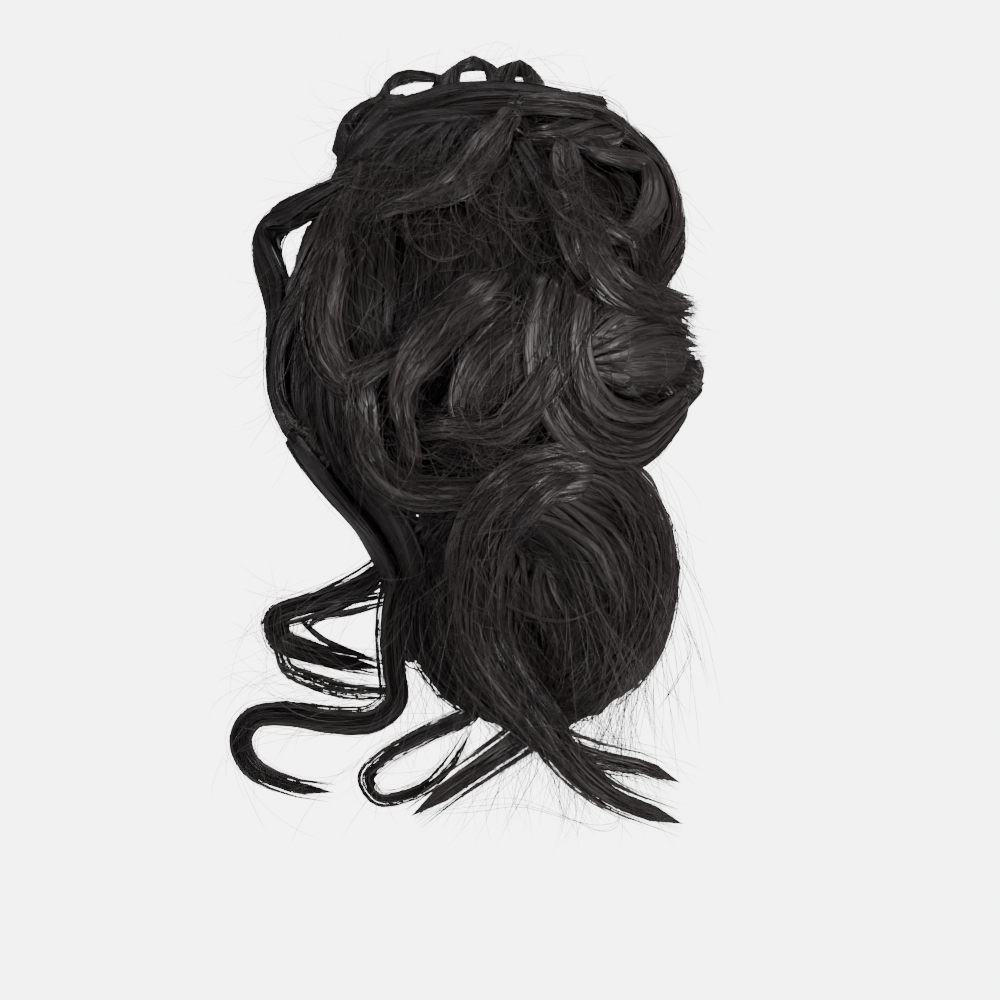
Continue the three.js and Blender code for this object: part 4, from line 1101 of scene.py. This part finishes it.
def starts(count, share):
    """Places spread over the hair as it is seen from behind."""
    x, z = chance.uniform(-82, 66, count), chance.uniform(-138, 104, count)
    kept = within(BUN, x, z, share) | within(FALL, x, z, share - 0.03)
    return x[kept], z[kept]


x, z = starts(520, 1.06)
flat = combed(x, z, 9, (3.5, 6.0), 0.12, 0.02, bell=12.0)
grow = np.repeat(chance.uniform(0.5, 4.0, len(x)), 9)
paths = over_hair(flat[..., 0].ravel(), flat[..., 1].ravel(), grow)[0].reshape(flat.shape[:2] + (3,))
inside = within(BUN, flat[..., 0], flat[..., 1], 1.09) | within(FALL, flat[..., 0], flat[..., 1], 1.0)
x, z = starts(1380, 1.04)
lay = combed(x, z, 10, (2.5, 5.0), 0.22, 0.03)
lay_paths = draped(lay, chance.uniform(0.2, 1.1, len(x)))
put_mesh("combed_hair_back", [
    flat_bundles(paths[inside.all(axis=1)], (1.8, 3.4)),
    hair_tubes(lay_paths[on_hair(lay, 0.3).all(axis=1)], 0.19),
], SHADE_DARKENED_HAIR)

count = 320
run = np.linspace(0, 1, 12)[None]
turn = np.radians(chance.uniform(-40, 220, (count, 1))) + np.radians(30) * run
turn = turn + 0.05 * np.sin(6 * run + chance.uniform(0, 6, (count, 1)))
polar = np.radians(chance.uniform(92, 128, (count, 1))) - np.radians(48) * run
paths = bun_way(turn, polar, chance.uniform(0.5, 5.5, (count, 1)) + 1.5 * np.sin(np.pi * run))
clear = (((paths - HEAD["centre"]) / HEAD["half"]) ** 2).sum(axis=2).min(axis=1) > 1.0
put_mesh("combed_hair_front", [hair_tubes(paths[clear], 0.3)], SHADE_DARKENED_HAIR)

count = 260
turn = np.radians(chance.uniform(-20, 200, (count, 1)))
turn = turn + 0.1 * np.sin(5 * run + chance.uniform(0, 6, (count, 1)))
polar = np.maximum(0.1, chance.uniform(0.9, 2.9, (count, 1)) - run * chance.uniform(0.5, 1.3, (count, 1)))
on_nape = fall_at(turn, polar, 0.25)
turn = chance.uniform(0, 2 * np.pi, (count, 1)) + 0.5 * run
spread = chance.uniform(-0.3, 0.6, (count, 1)) + run * chance.uniform(0.4, 0.9, (count, 1))
spread = np.clip(spread, 0.02, 0.98)
ring = (np.cos(turn)[..., None] * SIDEWAYS + np.sin(turn)[..., None] * UPWARD) * (SEAT["radius"] + 1.5)
rim_points = bun_way(turn, rim_polar(turn.ravel()).reshape(turn.shape))
in_hollow = on_head(ring + (rim_points - ring) * spread[..., None], 0.15)
put_mesh("combed_hair_inside", [hair_tubes(on_nape, 0.3), hair_tubes(in_hollow, 0.3)], SHADE_DARKENED_HAIR)

# The loose hairs
# Single fine hairs that have slipped out of the locks. Most lie over the bun in arcs that cross the locks,
# some stand off its outline, some hang below the nape, and a few long ones are placed one by one.
LOOSE_HAIR = hair_finish("loose_hair", (0.01, 0.0085, 0.008), (0.05, 0.041, 0.038), 0.3, 0.5, 0.1)

x, z = starts(850, 1.0)
arcs = combed(x, z, 11, (1.8, 4.2), 0.5, 0.09, bell=9.0)
arc_paths = draped(arcs, chance.uniform(0.4, 2.6, len(x)))[on_hair(arcs, 0.1).mean(axis=1) > 0.9]

CROWN_FROM = 48
x, z = starts(3000, 1.06)
x, z = x[z > CROWN_FROM], z[z > CROWN_FROM]
frizz = combed(x, z, 8, (1.2, 3.0), 1.0, 0.16, bell=9.0)
frizz_paths = draped(frizz, chance.uniform(0.3, 2.4, len(x)))[on_hair(frizz, 0.1).mean(axis=1) > 0.6]
BOX_ALLOWANCE = 9


def loose_hairs(names, count, lengths, lift, radius, steps=12, shares=(0.12, 0.9), droop=0.012,
                bends=(0.02, 0.2)):
    """Hairs that leave the locks. Each starts on a lock's outside, goes its way and a little out, and
    then turns steadily about an axis of its own. Those that would leave the piece's box are dropped."""
    chosen = chance.integers(0, len(names), count)
    share = chance.uniform(*shares, count)
    start, way = np.zeros((count, 3)), np.zeros((count, 3))
    for i, name in enumerate(names):
        mine = chosen == i
        place, along, across, out = parts_at(lines[name], share[mine], "points", "along", "across", "out")
        turn = chance.uniform(-0.4, np.pi + 0.4, mine.sum())[:, None]
        start[mine] = place + across * np.cos(turn) * 5 + out * np.sin(turn) * 3
        rise = chance.uniform(*lift, (mine.sum(), 1))
        way[mine] = along + (across * np.cos(turn) + out * np.sin(turn)) * rise
    way = unit(way)
    axis = chance.normal(size=(count, 3)) + 1.5 * np.array([0, 1.0, 0]) * chance.choice([-1, 1], (count, 1))
    axis = unit(axis)
    stride = chance.uniform(*lengths, (count, 1)) / (steps - 1)
    bend = chance.uniform(*bends, (count, 1)) * stride / 4.0
    path = [start]
    for _ in range(steps - 1):
        path.append(path[-1] + way * stride)
        way = unit(way + np.cross(axis, way) * bend + np.array([0, 0, -droop]) * stride)
    paths = np.stack(path, axis=1)
    low, high = np.array(cad_box[0]) * 1000 - BOX_ALLOWANCE, np.array(cad_box[1]) * 1000 + BOX_ALLOWANCE
    return hair_tubes(paths[np.all((paths > low) & (paths < high), axis=(1, 2))], radius)


edge_names = [row[0] for row in LOOPS]
edge_names += ["crown_edge_lock", "left_outer_fall", "right_outer_curl", "crown_left_lock"]
nape_names = [name for name in lines if name.startswith("nape")]
front_names = [f"front_lock_{i + 1}" for i in range(FRONT_LOCKS)]
STRAYS = [
    [(0.36, 1.13, 0.55), (0.66, 1.12, 0.55), (0.84, 1.07, 0.55), (0.89, 0.95, 0.55)],
    [(-0.23, -0.19), (-0.09, -0.02), (0.17, 0.03), (0.38, -0.18)],
    [(-0.40, -2.52, 0.85), (-0.04, -2.47, 0.85), (0.25, -2.44, 0.85), (0.55, -2.53, 0.85),
     (0.73, -2.58, 0.85), (0.82, -2.54, 0.85), (0.78, -2.46, 0.85), (0.62, -2.39, 0.85)],
    [(0.15, 0.75), (0.15, 0.40), (0.34, 0.24), (0.53, 0.27)],
    [(0.34, 0.75), (0.33, 0.63), (0.47, 0.45), (0.67, 0.34)],
    [(0.12, 0.56), (0.23, 0.45), (0.47, 0.48), (0.62, 0.58)],
    [(-0.06, 0.77), (0.01, 0.50), (0.23, 0.42), (0.41, 0.53)],
    [(1.18, -1.55, 0.9), (1.23, -1.68, 0.9), (1.14, -1.84, 0.9), (1.02, -1.99, 0.9)],
    [(0.46, 0.62), (0.60, 0.72), (0.76, 0.67), (0.80, 0.50), (0.68, 0.34)],
    [(-0.42, 0.67), (-0.38, 0.35), (-0.21, 0.23), (-0.00, 0.30)],
    [(-1.00, 0.67), (-0.83, 0.73), (-0.59, 0.77), (-0.38, 0.72)],
    [(-0.27, -0.54), (-0.05, -0.62), (0.23, -0.58), (0.49, -0.40)],
    [(0.57, 0.04), (0.46, -0.17), (0.52, -0.44), (0.75, -0.60)],
    [(-0.05, -0.78), (0.23, -0.69), (0.57, -0.74), (0.90, -0.92)],
    [(-0.02, -1.22), (0.12, -1.41), (0.46, -1.51), (0.79, -1.41)],
]
# The short hairs at the cut ends are a light grey: a painted highlight for light caught by the fuzzy ends of
# the dark hair.
HIGHLIGHTED_CUT_HAIR = hair_finish("highlighted_cut_hair", (0.05, 0.045, 0.044), (0.22, 0.2, 0.195), 0.35, 0.5, 0.1)
CUT_ENDS = [
    [(1.13, 0.07), (1.22, 0.04), (1.18, -0.05), (1.23, -0.16), (1.25, -0.25), (1.21, -0.36)],
    [(-1.09, -0.49), (-1.00, -0.56), (-0.92, -0.64), (-0.85, -0.74)],
]


def cut_ends(count, lengths=(1.5, 5.0), steps=4):
    """Short hairs along the cut ends of the locks. Each starts on the hair's outside near a line of cut
    ends, and goes away from the bun's middle, astray by an angle of its own, in a slight bend."""
    paths = []
    for through in CUT_ENDS:
        edge = smooth_line(place_of(through), 60)
        flat = edge[chance.integers(0, 60, count)] + chance.normal(0, 0.9, (count, 2))
        away = flat - BUN["centre"][::2]
        angle = np.arctan2(away[:, 1], away[:, 0]) + chance.normal(0, 0.5, count)
        bend = chance.normal(0, 0.35, count)
        run = np.linspace(0, 1, steps)[None] * chance.uniform(*lengths, (count, 1))
        turned = angle[:, None] + bend[:, None] * np.linspace(0, 1, steps)[None]
        deep = on_grid(SURFACE, flat[:, 0], flat[:, 1])[:, None] + chance.uniform(-1.0, 7.0, (count, 1))
        paths.append(np.stack([
            flat[:, :1] + run * np.cos(turned), deep + 0 * run, flat[:, 1:] + run * np.sin(turned)], axis=-1))
    return np.concatenate(paths)


def stray_paths(count=3, steps=24, apart=0.9):
    """The long stray hairs, a few to each row, a little apart. Rows with two numbers to a place lie on
    the hair, and rows with three hang free."""
    paths = []
    for through in STRAYS:
        places = place_of(through)
        for _ in range(count):
            near = places + chance.normal(0, apart, places.shape)
            line = smooth_line(near, steps, power=0.5, mirrored=True)
            paths.append(line if line.shape[1] == 3 else draped(line[None], np.array([1.6]))[0])
    return np.array(paths)


put_mesh("loose_hairs_bun", [
    hair_tubes(arc_paths, 0.12),
    loose_hairs([row[0] for row in LOCKS], 160, (20, 50), (0.05, 0.3), 0.09),
    loose_hairs(edge_names, 420, (10, 34), (0.2, 0.9), 0.09, bends=(0.05, 0.4)),
    loose_hairs(front_names, 100, (15, 40), (0.1, 0.5), 0.1),
    hair_tubes(stray_paths(), 0.16),
    hair_tubes(frizz_paths, 0.1),
], LOOSE_HAIR)
put_mesh("cut_ends_hair", [hair_tubes(cut_ends(300), 0.08)], HIGHLIGHTED_CUT_HAIR)
put_mesh("loose_hairs_nape", [
    loose_hairs([row[0] for row in TENDRILS], 300, (15, 55), (0.05, 0.5), 0.11),
    loose_hairs(nape_names, 420, (25, 75), (0.1, 0.7), 0.13, shares=(0.4, 0.98), droop=0.04,
                bends=(0.02, 0.16)),
], LOOSE_HAIR)

# The elastic band
# A round elastic with a ribbed woven cover, which the hair is sewn to. Its solid has the right shape, and
# the weave runs round it: ribs across the ring, slanted by the height over the seat.
def weave_group():
    """The woven cover of an elastic: a sine of the angle round the ring, slanted one way by the height,
    and the same slanted the other way. The higher of the two gives a colour between two and a height."""
    starts_from = {
        "Dark": (0.005, 0.005, 0.005, 1), "Light": (0.03, 0.03, 0.03, 1), "Ribs": 90.0, "Slant": 1400.0}
    group, given, taken = new_group("elastic_weave", starts_from, ("Color", "Height"))
    nodes, links = group.nodes, group.links
    place, turned = nodes.new("ShaderNodeTexCoord"), nodes.new("ShaderNodeMapping")
    parts = nodes.new("ShaderNodeSeparateXYZ")
    turned.inputs["Rotation"].default_value = (math.atan2(OUTWARD[1], OUTWARD[2]), 0, 0)
    links.new(place.outputs["Object"], turned.inputs["Vector"])
    links.new(turned.outputs["Vector"], parts.inputs["Vector"])

    ribs_to, slant = given.outputs["Ribs"], given.outputs["Slant"]
    angle = math_node(group, "ARCTAN2", parts.outputs["Y"], parts.outputs["X"])
    slanted = math_node(group, "MULTIPLY", parts.outputs["Z"], slant)
    one_way = math_node(group, "SINE", math_node(group, "MULTIPLY_ADD", angle, ribs_to, slanted))
    turned_ribs = math_node(group, "MULTIPLY", angle, ribs_to)
    other_way = math_node(group, "SINE", math_node(group, "SUBTRACT", turned_ribs, slanted))
    higher = math_node(group, "MAXIMUM", one_way, other_way)
    height = math_node(group, "MULTIPLY_ADD", higher, 0.5, 0.5)
    links.new(between_colours(group, given, height), taken.inputs["Color"])
    links.new(height, taken.inputs["Height"])
    return group


band_material, nodes, links, band_shader = new_material("elastic")
band_shader.inputs["Roughness"].default_value = 0.8
weave, relief = nodes.new("ShaderNodeGroup"), nodes.new("ShaderNodeBump")
weave.node_tree = weave_group()
relief.inputs["Distance"].default_value = 0.0004
links.new(weave.outputs["Color"], band_shader.inputs["Base Color"])
links.new(weave.outputs["Height"], relief.inputs["Height"])
links.new(relief.outputs["Normal"], band_shader.inputs["Normal"])
band_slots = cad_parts["elastic_band"].data.materials
band_slots.clear()
band_slots.append(band_material)

# The studio
# A plain pale floor under a white surround, a soft light on each side of the camera, one from above
# and one from the front.
floor_mesh = bpy.data.meshes.new("floor")
floor_mesh.from_pydata([
    (-30, -30, -0.5), (30, -30, -0.5), (30, 30, -0.5), (-30, 30, -0.5)], [], [(0, 1, 2, 3)])
floor = add_object("floor", floor_mesh)
floor_material, nodes, links, floor_shader = new_material("floor")
floor_shader.inputs["Base Color"].default_value = (0.8, 0.8, 0.8, 1)
floor_shader.inputs["Roughness"].default_value = 0.9
seen = nodes.new("ShaderNodeLightPath")
glow = nodes.new("ShaderNodeEmission")
glow.inputs["Strength"].default_value = 6.0
mixed = nodes.new("ShaderNodeMixShader")
links.new(seen.outputs["Is Camera Ray"], mixed.inputs["Fac"])
links.new(floor_shader.outputs["BSDF"], mixed.inputs[1])
links.new(glow.outputs["Emission"], mixed.inputs[2])
links.new(mixed.outputs["Shader"], nodes["Material Output"].inputs["Surface"])
floor_mesh.materials.append(floor_material)

world = bpy.data.worlds.new("world")
bpy.context.scene.world = world
world.use_nodes = True
nodes, links = world.node_tree.nodes, world.node_tree.links
background = nodes["Background"]
background.inputs["Color"].default_value = (1, 1, 1, 1)
seen = nodes.new("ShaderNodeLightPath")
strength = nodes.new("ShaderNodeMapRange")
strength.inputs["To Min"].default_value = 0.16
strength.inputs["To Max"].default_value = 6.0
links.new(seen.outputs["Is Camera Ray"], strength.inputs["Value"])
links.new(strength.outputs["Result"], background.inputs["Strength"])


def soft_light(name, place, size, power):
    """A rectangular light that faces the middle of the bun."""
    data = bpy.data.lights.new(name, "AREA")
    data.shape = "RECTANGLE"
    data.size, data.size_y = size
    data.energy = power
    lamp = add_object(name, data)
    away = np.array(place) - np.array([0.0, -0.05, 0.0])
    tilt = math.atan2(math.hypot(away[0], away[1]), away[2])
    lamp.location = place
    lamp.rotation_euler = (tilt, 0, math.atan2(away[1], away[0]) + math.pi / 2)


soft_light("right_light", (0.95, -1.1, 0.35), (0.5, 0.5), 30)
soft_light("left_light", (-0.9, -1.0, 0.35), (0.5, 0.6), 15)
soft_light("top_light", (0.0, 0.2, 1.3), (0.8, 0.5), 5)
soft_light("front_light", (0.2, 1.3, 0.3), (0.8, 0.8), 12)
